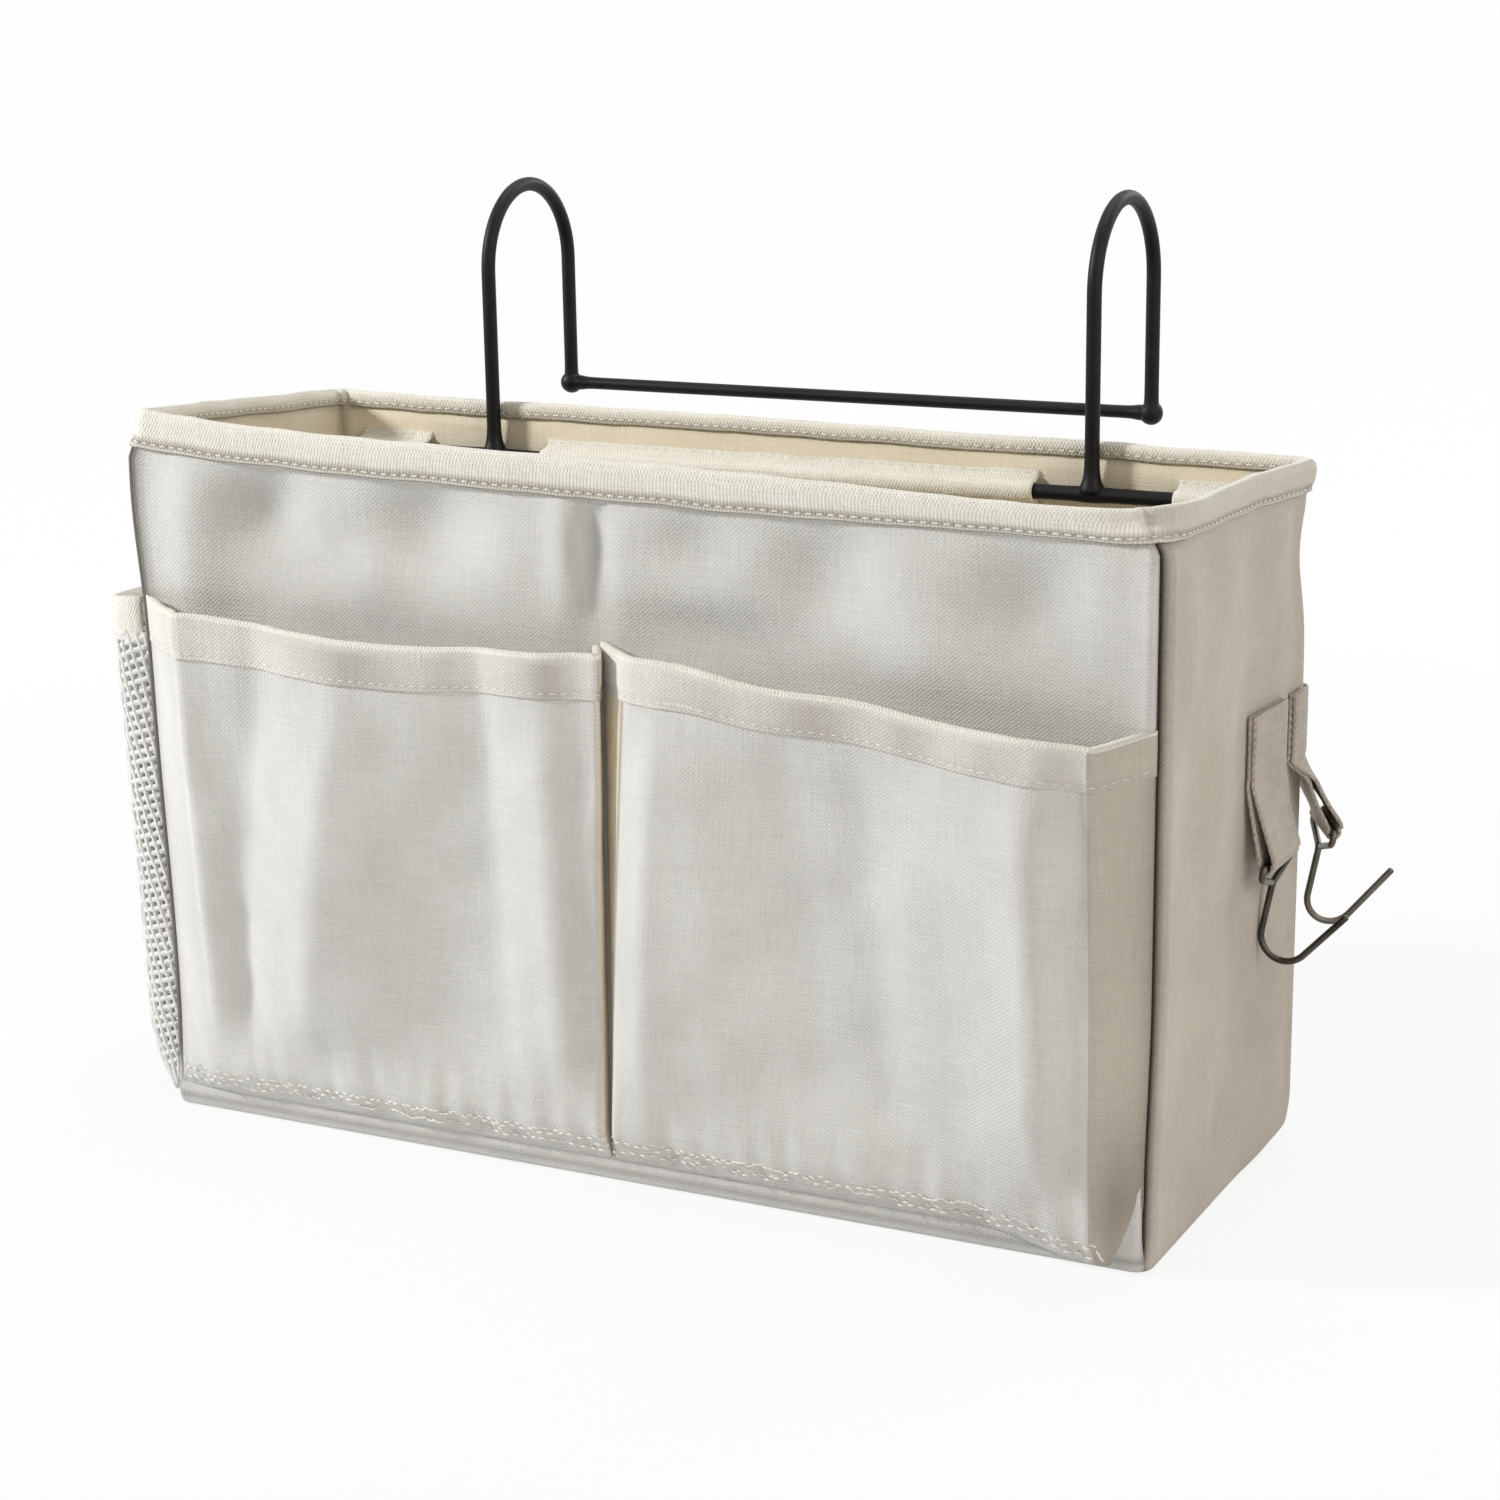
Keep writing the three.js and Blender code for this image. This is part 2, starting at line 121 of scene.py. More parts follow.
def piece(name, verts, faces, cornerUv, material, creaseShade=None):
    verts = np.asarray(verts, float)
    volume = 0.0
    for face in faces:
        a = verts[face[0]]
        for b, c in zip(face[1:-1], face[2:]):
            volume += np.dot(a, np.cross(verts[b], verts[c]))
    if volume < 0:  # turn every face outwards
        faces = [face[::-1] for face in faces]
        cornerUv = [corners[::-1] for corners in cornerUv]
    mesh = bpy.data.meshes.new(name)
    mesh.from_pydata((verts * metre).tolist(), [], faces)
    layer = mesh.uv_layers.new(name="UVMap")
    flat = np.array([uv for corners in cornerUv for uv in corners], float) * metre
    layer.data.foreach_set("uv", flat.ravel())
    mesh.polygons.foreach_set("use_smooth", [True] * len(mesh.polygons))
    mesh.materials.append(material)
    if creaseShade is not None:  # painted shade for each point, down in the seams, folds, dents and hollows: how far its colour is darkened towards its finish's shade tone
        shades = mesh.attributes.new("creaseShade", "FLOAT", "POINT")
        shades.data.foreach_set("value", np.clip(np.asarray(creaseShade, float).ravel(), 0, 1))
    mesh.update()
    return linked(name, mesh)


def sheet(name, grid, thickness, material, closed=False, edge=0.35, creaseShade=None):
    # a closed sheet of cloth: grid[row][column] is its outer face
    rows, columns = grid.shape[:2]
    normals = gridNormals(grid, closed)
    half = np.full((rows, columns), thickness / 2.0)
    half[[0, -1], :] *= edge
    if not closed:
        half[:, [0, -1]] *= edge
    middle = grid - normals * thickness / 2
    outer = middle + normals * half[..., None]
    inner = middle - normals * half[..., None]
    verts = np.concatenate([outer.reshape(-1, 3), inner.reshape(-1, 3)])
    across = runs(grid[rows // 2], closed)
    up = runs(grid[:, columns // 2])
    back = rows * columns
    faces, uv = [], []

    def at(i, j):
        return i * columns + j % columns

    def put(spots, far):
        faces.append([at(i, j) + (back if isInner else 0) for (i, j), isInner in zip(spots, far)])
        uv.append([(across[j], up[i]) for i, j in spots])

    last = columns if closed else columns - 1
    for i in range(rows - 1):
        for j in range(last):
            ring = [(i, j), (i, j + 1), (i + 1, j + 1), (i + 1, j)]
            put(ring, [False] * 4)
            put(ring[::-1], [True] * 4)
    for j in range(last):
        put([(0, j), (0, j + 1), (0, j + 1), (0, j)], [True, True, False, False])
        top = rows - 1
        put([(top, j), (top, j + 1), (top, j + 1), (top, j)], [False, False, True, True])
    if not closed:
        for i in range(rows - 1):
            end = columns - 1
            put([(i, 0), (i + 1, 0), (i + 1, 0), (i, 0)], [False, False, True, True])
            put([(i, end), (i + 1, end), (i + 1, end), (i, end)], [True, True, False, False])
    both = None if creaseShade is None else np.concatenate([creaseShade.ravel(), creaseShade.ravel()])
    return piece(name, verts, faces, uv, material, both)


def loft(name, rings, material, closed=False, creaseShade=None):
    # rings[place along the path][point round the closed section]
    rings = np.asarray(rings, float)
    count, sides = rings.shape[:2]
    along = runs(rings.mean(axis=1), closed)
    around = runs(rings[count // 2], True)
    faces, uv = [], []
    for k in range(count if closed else count - 1):
        for p in range(sides):
            q = (p + 1) % sides
            n = (k + 1) % count
            faces.append([k * sides + p, k * sides + q, n * sides + q, n * sides + p])
            uv.append([(along[k], around[p]), (along[k], around[p + 1]),
                       (along[k + 1], around[p + 1]), (along[k + 1], around[p])])
    if not closed:
        first = list(range(sides))
        faces.append(first[::-1])
        uv.append([(0, around[p]) for p in first[::-1]])
        faces.append([(count - 1) * sides + p for p in first])
        uv.append([(along[-1], around[p]) for p in first])
    return piece(name, rings.reshape(-1, 3), faces, uv, material, creaseShade)


def tube(name, path, radii, material, sides=14, roundEnds=True):
    path = np.asarray(path, float)
    radii = np.broadcast_to(np.asarray(radii, float), len(path)).copy()
    if roundEnds:  # dome each end with three small rings
        turns = np.radians([82, 55, 27])
        start = unit(path[0] - path[1])
        finish = unit(path[-1] - path[-2])
        head = [path[0] + start * radii[0] * 0.6 * math.sin(t) for t in turns]
        tail = [path[-1] + finish * radii[-1] * 0.6 * math.sin(t) for t in turns[::-1]]
        radii = np.concatenate([radii[0] * np.cos(turns), radii, radii[-1] * np.cos(turns[::-1])])
        path = np.concatenate([head, path, tail])
    ahead = unit(np.gradient(path, axis=0))
    side = unit(np.cross(ahead[0], (0.31, 0.52, 0.79)))
    rings = []
    angles = np.linspace(0, 2 * np.pi, sides, endpoint=False)
    for spot, forward, radius in zip(path, ahead, radii):
        side = unit(side - forward * np.dot(side, forward))
        other = np.cross(forward, side)
        rings.append([spot + radius * (np.cos(a) * side + np.sin(a) * other) for a in angles])
    return loft(name, rings, material)


def spline(points, count):
    # evenly spaced points on a smooth curve through the given ones
    points = np.asarray(points, float)
    padded = np.concatenate([[2 * points[0] - points[1]], points, [2 * points[-1] - points[-2]]])
    fine = []
    for a, b, c, d in zip(padded, padded[1:], padded[2:], padded[3:]):
        for t in np.linspace(0, 1, 24, endpoint=False):
            fine.append(0.5 * (2 * b + (c - a) * t + (2 * a - 5 * b + 4 * c - d) * t * t
                               + (3 * b - a - 3 * c + d) * t ** 3))
    return evenly(np.array(fine + [points[-1]]), count)


def evenly(points, count):
    run = runs(points)
    wanted = np.linspace(0, run[-1], count)
    return np.stack([np.interp(wanted, run, points[:, k]) for k in range(points.shape[1])], axis=1)


def turnedCorner(near, corner, far, steps):
    shares = np.linspace(0, 1, steps + 1)
    return [(1 - t) ** 2 * near + 2 * t * (1 - t) * corner + t * t * far for t in shares]


def bendCorners(points, radius, steps=6):
    # a line through points with each inner corner rounded off
    points = np.asarray(points, float)
    line = [points[0]]
    for before, corner, after in zip(points, points[1:], points[2:]):
        near = corner + unit(before - corner) * radius
        far = corner + unit(after - corner) * radius
        line += turnedCorner(near, corner, far, steps)
    return np.array(line + [points[-1]])


def levelLine(xs, y, z):
    return np.stack([xs, np.full_like(xs, y), np.full_like(xs, z)], -1)


def settle(made, body, slot, *nodes):
    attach(made, body)
    if nodes:
        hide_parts(*nodes)
    return made


# Finishes

def tone(red, green, blue):
    def straight(value):
        value /= 255
        return value / 12.92 if value <= 0.04045 else ((value + 0.055) / 1.055) ** 2.4
    return (straight(red), straight(green), straight(blue), 1)


class Nodes:
    # small helper round one material's node tree
    def __init__(self, name):
        self.material = bpy.data.materials.new(name)
        self.material.use_nodes = True
        self.tree = self.material.node_tree
        self.shader = self.tree.nodes["Principled BSDF"]
        self.coords = self.tree.nodes.new("ShaderNodeTexCoord")

    def join(self, source, target):
        self.tree.links.new(source, target)

    def feed(self, socket, value):
        if hasattr(value, "is_output"):
            self.join(value, socket)
        else:
            socket.default_value = value

    def maths(self, operation, first, second=0.0):
        node = self.tree.nodes.new("ShaderNodeMath")
        node.operation = operation
        self.feed(node.inputs[0], first)
        self.feed(node.inputs[1], second)
        return node.outputs[0]

    def clouds(self, vector, scale, detail=3.0, rough=0.5):
        node = self.tree.nodes.new("ShaderNodeTexNoise")
        self.join(vector, node.inputs["Vector"])
        node.inputs["Scale"].default_value = scale
        node.inputs["Detail"].default_value = detail
        node.inputs["Roughness"].default_value = rough
        return node.outputs["Fac"]

    def stretched(self, vector, scale):
        node = self.tree.nodes.new("ShaderNodeMapping")
        self.join(vector, node.inputs["Vector"])
        node.inputs["Scale"].default_value = scale
        return node.outputs["Vector"]

    def span(self, value, low, high, newLow=0.0, newHigh=1.0):
        node = self.tree.nodes.new("ShaderNodeMapRange")
        self.feed(node.inputs["Value"], value)
        for label, number in (("From Min", low), ("From Max", high), ("To Min", newLow), ("To Max", newHigh)):
            node.inputs[label].default_value = number
        return node.outputs["Result"]

    def blendTones(self, factor, first, second):
        node = self.tree.nodes.new("ShaderNodeMix")
        node.data_type = "RGBA"
        self.feed(node.inputs["Factor"], factor)
        self.feed(node.inputs[6], first)
        self.feed(node.inputs[7], second)
        return node.outputs[2]

    def relief(self, height, depth, strength):
        node = self.tree.nodes.new("ShaderNodeBump")
        self.join(height, node.inputs["Height"])
        node.inputs["Distance"].default_value = depth * metre
        node.inputs["Strength"].default_value = strength
        self.join(node.outputs["Normal"], self.shader.inputs["Normal"])


def weaveCloth(name, finish):
    # plain woven cloth: threads over and under each other, slubs, and soft uneven colour
    cloth = Nodes(name)
    uv, place = cloth.coords.outputs["UV"], cloth.coords.outputs["Object"]
    split = cloth.tree.nodes.new("ShaderNodeSeparateXYZ")
    cloth.join(uv, split.inputs[0])
    waver = cloth.maths("MULTIPLY", cloth.clouds(uv, finish["waverScale"], 2), finish["waver"] * metre)
    weave = []
    for axis, pitch in enumerate(finish["pitch"]):
        run = cloth.maths("ADD", split.outputs[axis], waver)
        weave.append(cloth.maths("SINE", cloth.maths("MULTIPLY", run, 2 * math.pi / (pitch * metre))))
    crossings = cloth.maths("MULTIPLY", weave[0], weave[1])
    long, fine = finish["slubLong"], finish["slubFine"]
    acrossSlubs = cloth.clouds(cloth.stretched(uv, (long, fine, 1)), 1, 2)
    alongSlubs = cloth.clouds(cloth.stretched(uv, (fine, long, 1)), 1, 2)
    slubs = cloth.maths("ADD", acrossSlubs, alongSlubs)
    broad = cloth.clouds(place, finish["mottleScale"], 4, 0.6)
    shade = cloth.maths("ADD", cloth.span(broad, 0.3, 0.7, 0, finish["mottle"]),
                        cloth.span(slubs, 0.7, 1.3, 0, finish["slub"]))
    shade = cloth.maths("ADD", shade, cloth.span(crossings, -1, 1, 0, finish["threadShade"]))
    colour = cloth.blendTones(shade, tone(*finish["light"]), tone(*finish["dark"]))
    # painted shade: the point attribute set in piece() darkens the colour towards the finish's shade tone
    folds = cloth.tree.nodes.new("ShaderNodeAttribute")
    folds.attribute_name = "creaseShade"
    colour = cloth.blendTones(folds.outputs["Fac"], colour, tone(*finish["creaseShade"]))
    cloth.join(colour, cloth.shader.inputs["Base Color"])
    height = cloth.maths("ADD", cloth.maths("MULTIPLY", crossings, 0.5), slubs)
    cloth.relief(height, finish["depth"], finish["relief"])
    cloth.shader.inputs["Roughness"].default_value = finish["roughness"]
    cloth.shader.inputs["Sheen Weight"].default_value = finish["sheen"]
    cloth.shader.inputs["Sheen Roughness"].default_value = finish["sheenRough"]
    cloth.shader.inputs["Specular IOR Level"].default_value = finish["specular"]
    return cloth.material


plainCanvas = {"pitch": (1.4, 1.2), "waver": 0.5, "depth": 0.2, "relief": 0.6, "slub": 0.22,
               "threadShade": 0.2, "roughness": 0.93, "sheen": 0.15, "sheenRough": 0.6, "specular": 0.25,
               "waverScale": 260, "slubLong": 70, "slubFine": 1500}
# each finish's third tone is the painted shade colour that its cloth darkens to in seams, folds and dents
canvasCloth = weaveCloth("canvasCloth", {
    **plainCanvas, "light": (238, 237, 233), "dark": (186, 184, 179), "creaseShade": (84, 78, 69),
    "mottle": 0.24, "mottleScale": 22})
# painted shade: a darker, warmer copy of the canvas for the right side and the pocket faces turned to it,
# standing in for the shade and warm fill light there
shadedSideCloth = weaveCloth("shadedSideCloth", {
    **plainCanvas, "light": (219, 210, 198), "dark": (168, 158, 146), "creaseShade": (88, 74, 52),
    "mottle": 0.3, "mottleScale": 20})
liningCloth = weaveCloth("liningCloth", {
    **plainCanvas, "light": (246, 238, 219), "dark": (222, 208, 178), "creaseShade": (96, 78, 42),
    "pitch": (1.3, 1.3), "waver": 0.4, "depth": 0.18, "relief": 0.5, "mottle": 0.35, "mottleScale": 16,
    "slub": 0.3, "threadShade": 0.14, "roughness": 0.95, "sheen": 0.1})
tapeCloth = weaveCloth("tapeCloth", {
    **plainCanvas, "light": (252, 250, 241), "dark": (224, 218, 203), "creaseShade": (108, 95, 66),
    "pitch": (1.1, 2.0), "waver": 0.6, "depth": 0.3, "relief": 0.7, "mottle": 0.2, "mottleScale": 90,
    "slub": 0.4, "threadShade": 0.22, "roughness": 0.9})
hemCloth = weaveCloth("hemCloth", {
    **plainCanvas, "light": (244, 241, 235), "dark": (208, 202, 194), "creaseShade": (120, 108, 100),
    "waver": 0.6, "depth": 0.24, "relief": 0.7, "mottle": 0.45, "mottleScale": 30, "slub": 0.2,
    "threadShade": 0.18})
strapWeb = weaveCloth("strapWeb", {
    **plainCanvas, "light": (220, 211, 198), "dark": (158, 148, 134), "creaseShade": (70, 62, 52),
    "pitch": (2.4, 1.2), "waver": 0.25, "depth": 0.4, "relief": 0.85, "mottle": 0.25, "mottleScale": 70,
    "slub": 0.3, "threadShade": 0.4, "roughness": 0.88, "sheen": 0.2})


def yarnFinish(name, finish):
    yarn = Nodes(name)
    place = yarn.coords.outputs["Object"]
    fibres = yarn.clouds(place, finish["fibreScale"], 4, 0.65)
    broad = yarn.clouds(place, 30, 3)
    shade = yarn.maths("ADD", yarn.span(fibres, 0.3, 0.7, 0, 0.5), yarn.span(broad, 0.3, 0.7, 0, 0.4))
    yarn.join(yarn.blendTones(shade, tone(*finish["light"]), tone(*finish["dark"])),
              yarn.shader.inputs["Base Color"])
    yarn.relief(fibres, 0.15, 0.6)
    yarn.shader.inputs["Roughness"].default_value = finish["roughness"]
    yarn.shader.inputs["Sheen Weight"].default_value = 0.2
    return yarn.material


netYarn = yarnFinish("netYarn", {
    "light": (245, 245, 242), "dark": (218, 218, 214), "fibreScale": 1400, "roughness": 0.8})
seamThread = yarnFinish("seamThread", {
    "light": (252, 251, 247), "dark": (226, 222, 212), "fibreScale": 1800, "roughness": 0.75})
strapThread = yarnFinish("strapThread", {
    "light": (222, 214, 196), "dark": (150, 140, 120), "fibreScale": 1800, "roughness": 0.75})


def metalFinish(name, finish):
    metal = Nodes(name)
    place = metal.coords.outputs["Object"]
    peel = metal.clouds(place, finish["peelScale"], 2)
    cloudy = metal.clouds(place, 45, 4, 0.6)
    shade = metal.span(cloudy, 0.35, 0.7)
    metal.join(metal.blendTones(shade, tone(*finish["dark"]), tone(*finish["light"])),
               metal.shader.inputs["Base Color"])
    rough = metal.span(cloudy, 0.3, 0.75, finish["rough"][0], finish["rough"][1])
    metal.join(rough, metal.shader.inputs["Roughness"])
    metal.relief(peel, finish["peelDepth"], 0.35)
    metal.shader.inputs["Metallic"].default_value = finish["metallic"]
    metal.shader.inputs["Specular IOR Level"].default_value = finish["specular"]
    return metal.material


blackPaint = metalFinish("blackPaint", {
    "dark": (4, 4, 5), "light": (13, 13, 14), "rough": (0.42, 0.56), "peelScale": 900, "peelDepth": 0.06,
    "metallic": 0.0, "specular": 0.22})
nickelWire = metalFinish("nickelWire", {
    "dark": (58, 54, 49), "light": (112, 106, 97), "rough": (0.25, 0.45), "peelScale": 1200,
    "peelDepth": 0.04, "metallic": 1.0, "specular": 0.5})
print("finishes made")


# The bag's soft shape: each side runs from one corner seam to the next, anticlockwise from above

bagHigh = cornersOf("right_side_panel")[1][0]
bagDeep = cornersOf("back_panel")[1][1]
rimTop = cornersOf("rim_binding")[1][2]
bag = {
    "halfWidth": bagHigh, "halfDepth": bagDeep, "top": rimTop,
    "corner": 6,  # radius at the corner seams
    "rimCorner": {"frontLeft": 5, "frontRight": 30, "backRight": 6, "backLeft": 6},
    "cloth": 1.3, "lining": 0.5,
    "grooveDepth": 1.9, "grooveWidth": 1.1, "ridge": 0.9,
    "frontLift": ((-160, -130, -100, -33, 31, 91, 134, 165), (9, 6.8, 5.3, 3.8, 2.4, 0, -1.4, -1.6)),
    "backLift": ((-165, -104, -30, 38, 103, 165), (-1, -1.9, -2.2, -3.3, -3.6, -4.8)),
    "frontLeftIn": 4.6, "frontLeftOut": 1.6, "backLeftOut": 2, "frontRightOut": 1.3,
    "rearPinch": 2.4, "rearSwell": 3.0, "rearFlare": 1.0, "leftGather": 2.5, "rearFootLift": 1.5,
    "columns": (100, 46), "rows": 58, "liningColumns": (60, 26), "liningRows": 44,  # long and short sides
    "seamStrip": 4.5, "slab": (72, 30),
    "softFrom": 110, "rimFrom": 150, "rimLine": 212,  # heights where it begins to give, and of the rim
    "nearEnd": (110, 165), "nearFace": (0, 60),  # where an end, and the front or back, begins and is reached
}
sides = {
    "front": {"along": (1, 0), "out": (0, -1), "corners": ("frontLeft", "frontRight"), "wave": 2.2},
    "right": {"along": (0, 1), "out": (1, 0), "corners": ("frontRight", "backRight"), "wave": 4.5},
    "back": {"along": (-1, 0), "out": (0, 1), "corners": ("backRight", "backLeft"), "wave": 3.5},
    "left": {"along": (0, -1), "out": (-1, 0), "corners": ("backLeft", "frontLeft"), "wave": 2.0},
}
# dents above the front pockets: place along, height, reach along, reach up, depth
frontDents = [
    (-114, 190, 13, 13, 7.0), (-60, 191, 15, 11, 6.5), (-92, 181, 11, 10, 2.0), (-4, 190, 5, 20, 4.5),
    (-13, 190, 4, 20, -2.0), (30, 193, 13, 11, 4.0), (67, 190, 14, 12, 4.5), (28, 169, 26, 8, 4.5),
    (126, 188, 14, 14, 5.0), (-141, 184, 13, 26, -5.0), (150, 196, 8, 20, -2.5), (-31, 184, 10, 14, -1.5),
    (92, 188, 12, 14, -2.0), (-80, 176, 14, 9, -1.6), (98, 170, 14, 9, -1.5)]


def frontDenting(along, z):
    dent = np.zeros(np.broadcast(along, z).shape)
    for centre, height, reachX, reachZ, depth in frontDents:
        dent = dent + depth * hump(along, centre, reachX) * hump(z, height, reachZ)
    return dent


def rearSwell(y, z):
    # the rear of the right side stands out, drawn in below the rim
    swell = bag["rearSwell"] * smooth(-4, 6, z) - bag["rearPinch"] * hump(z, 186, 16)
    return smooth(10, 60, y) * (swell + bag["rearFlare"] * smooth(198, 212, z))


def warp(points):
    # how the filled, handled bag departs from its straight-sided pattern
    points = np.array(points, float)
    x, y, z = points[..., 0], points[..., 1], points[..., 2]
    toBack = np.clip((y + bag["halfDepth"]) / (2 * bag["halfDepth"]), 0, 1)
    front, back = np.interp(x, *bag["frontLift"]), np.interp(x, *bag["backLift"])
    high = smooth(bag["softFrom"], bag["rimLine"], z)
    rim = smooth(bag["rimFrom"], bag["rimLine"], z)
    nearLeft, nearRight = smooth(*bag["nearEnd"], -x), smooth(*bag["nearEnd"], x)
    nearFront, nearBack = smooth(*bag["nearFace"], -y), smooth(*bag["nearFace"], y)
    leftIn = bag["frontLeftIn"] * smooth(200, 209, z) - bag["frontLeftOut"] * hump(z, 185, 22)
    shiftX = nearLeft * nearFront * leftIn
    shiftX = shiftX - bag["backLeftOut"] * nearLeft * nearBack * rim
    shiftX = shiftX + smooth(120, 165, x) * rearSwell(y, z)
    rightOut = smooth(20, 80, z) * (1 - smooth(200, 211, z))
    shiftX = shiftX + bag["frontRightOut"] * nearRight * nearFront * rightOut
    gather = bag["leftGather"] * hump(z, 45, 60) * smooth(0, 14, z) + 1.5
    shiftX = shiftX + gather * smooth(140, 165, -x) * smooth(25, 60, -y) * (1 - rim)
    lift = (front * (1 - toBack) + back * toBack) * high
    foot = bag["rearFootLift"] * nearRight * smooth(30, 60, y) * (1 - smooth(0, 60, z))
    return np.stack([x + shiftX, y, z + lift + foot], axis=-1)


def cornerRadius(corner, z):
    return bag["corner"] + (bag["rimCorner"][corner] - bag["corner"]) * smooth(203, bag["rimLine"], z)


def sideLength(side):
    return 2 * forSide(side, bag["halfWidth"], bag["halfDepth"])


def forSide(side, longSide, shortSide):
    return longSide if side in ("front", "back") else shortSide


def sideSpot(side, share, z, out):
    # point and run along a side at a share of its way, out from the straight face
    share, z, out = np.broadcast_arrays(*[np.asarray(given, float) for given in (share, z, out)])
    facts = sides[side]
    length = sideLength(side)
    reach = forSide(side, bag["halfDepth"], bag["halfWidth"])
    first, second = [cornerRadius(corner, z) for corner in facts["corners"]]
    firstArc, secondArc = first * math.pi / 4, second * math.pi / 4
    straight = length - first - second
    run = share * (firstArc + straight + secondArc)
    firstTurn = np.clip(firstArc - run, 0, None) / first
    secondTurn = np.clip(run - firstArc - straight, 0, None) / second
    flat = np.clip(run - firstArc, 0, straight)
    along = -length / 2 + first + flat - first * np.sin(firstTurn) + second * np.sin(secondTurn)
    outward = reach - first * (1 - np.cos(firstTurn)) - second * (1 - np.cos(secondTurn))
    along = along + out * (np.sin(secondTurn) - np.sin(firstTurn))
    outward = outward + out * np.cos(firstTurn) * np.cos(secondTurn)
    (ax, ay), (ox, oy) = facts["along"], facts["out"]
    return np.stack([along * ax + outward * ox, along * ay + outward * oy, z], axis=-1), along


def softness(side, share, z):
    # how far the cloth stands out from its straight face
    spot, along = sideSpot(side, share, z, 0)
    fade = smooth(2, 30, z) * (1 - 0.85 * smooth(196, 208, z))
    seam = np.minimum(share, 1 - share) * sideLength(side)
    fade = fade * smooth(3, 26, seam)
    wave = grain(np.stack([along, z * 0.7, np.zeros_like(along)], -1), 34, 3 + len(side))
    wave = wave + 0.22 * grain(np.stack([along, z, np.ones_like(along)], -1), 15, 11 + len(side))
    out = sides[side]["wave"] * wave
    if side == "front":  # flat behind the pockets
        out = out * smooth(142, 190, z) - frontDenting(along, z) * smooth(138, 158, z)
    if side == "right":  # flat where the straps are sewn on
        out = out * (1 - smooth(4, 22, along) * hump(z, 132, 24)) + 1.2 * hump(z, 60, 60)
    if side == "back":
        out = out * (1 - hump(z, 196, 12))
    if side == "left":
        out = out - 1.0 * hump(z, 90, 60)
    return out * fade


def seamFold(side, share, z=100):
    # groove at each corner seam, with the folded edge of the cloth standing up beside it
    gap = np.minimum(share, 1 - share) * sideLength(side)
    groove = -bag["grooveDepth"] * hump(gap, 0, bag["grooveWidth"])
    ridge = bag["ridge"] * (smooth(140, 158, z) if side == "front" else 1.3)
    return (groove + ridge * hump(gap, 3.4, 1.5)) * smooth(2, 14, z) * (1 - 0.7 * smooth(200, 206, z))


def sideGrid(side, shares, heights, out, soft=1.0, fold=1.0):
    share, z = np.meshgrid(shares, heights)
    stand = out + soft * softness(side, share, z) + fold * seamFold(side, share, z)
    tuck = -1.0 * (1 - smooth(0, 5, z)) ** 2
    return warp(sideSpot(side, share, z, stand + tuck)[0])


def sidePaintedShade(side, shares, heights, seamShade=0.8, width=1.1, dents=0.022):
    # painted shade for a side panel: darker in its corner seams, in the front's dents, down the front's left
    # edge, in a line where the bottom is sewn on, and down the left side's front edge
    share, z = np.meshgrid(shares, heights)
    gap = np.minimum(share, 1 - share) * sideLength(side)
    shade = seamShade * hump(gap, 0, width) * (0.25 + 0.75 * smooth(1, 12, z))
    if side == "front":
        shade = shade + dents * np.clip(frontDenting(sideSpot(side, share, z, 0)[1], z), 0, None)
        # painted shade: a dark line down the front's left edge, stronger higher up
        fromLeft = 1 - smooth(3.6, 5.2, share * sideLength(side))
        shade = shade + 0.85 * fromLeft * (0.2 + 0.8 * smooth(40, 90, z))
        shade = shade + 0.4 * hump(z, 4.0, 1.2)  # where the bottom is sewn on
    if side == "left":
        # painted shade: a dark line down the left side's edge by the front
        shade = shade + 0.9 * (1 - smooth(3, 6, (1 - share) * sideLength(side))) * smooth(4, 20, z)
    return shade


panels = {"front": ("front_panel", canvasCloth), "right": ("right_side_panel", shadedSideCloth),
          "back": ("back_panel", canvasCloth), "left": ("left_side_panel", canvasCloth)}
heights = np.concatenate([[0.5, 1.1, 2.2, 4.0, 6.0], np.linspace(9, bag["top"] - 4, bag["rows"])])
for side, (node, cloth) in panels.items():
    count = forSide(side, *bag["columns"])
    near = bag["seamStrip"] / sideLength(side)  # finer beside the seams
    shares = np.concatenate([np.linspace(0, near, 6), np.linspace(near, 1 - near, count)[1:-1],
                             np.linspace(1 - near, 1, 6)])
    made = sheet(f"{side}_canvas", sideGrid(side, shares, heights, 0), bag["cloth"], cloth,
                 creaseShade=sidePaintedShade(side, shares, heights))
    settle(made, "bag", "canvas", node)
print("side panels lofted")

liningRows = np.linspace(4.6, bag["top"] - 5, bag["liningRows"])
liningParts, liningShades = [], []
for side in sides:
    shares = np.linspace(0, 1, forSide(side, *bag["liningColumns"]), endpoint=False)
    liningParts.append(sideGrid(side, shares, liningRows, -bag["cloth"] - 0.2))
    # painted shade: the lining of the left wall, and less of the right wall, is darkened all over
    paintedWallShade = {"left": 0.14, "right": 0.08}.get(side, 0)
    liningShades.append(np.maximum(sidePaintedShade(side, shares, liningRows, 0.6, 3.0, 0), paintedWallShade))
lining = sheet("side_lining", np.concatenate(liningParts, axis=1), bag["lining"], liningCloth, closed=True,
               creaseShade=np.concatenate(liningShades, axis=1))
settle(lining, "bag", "lining")


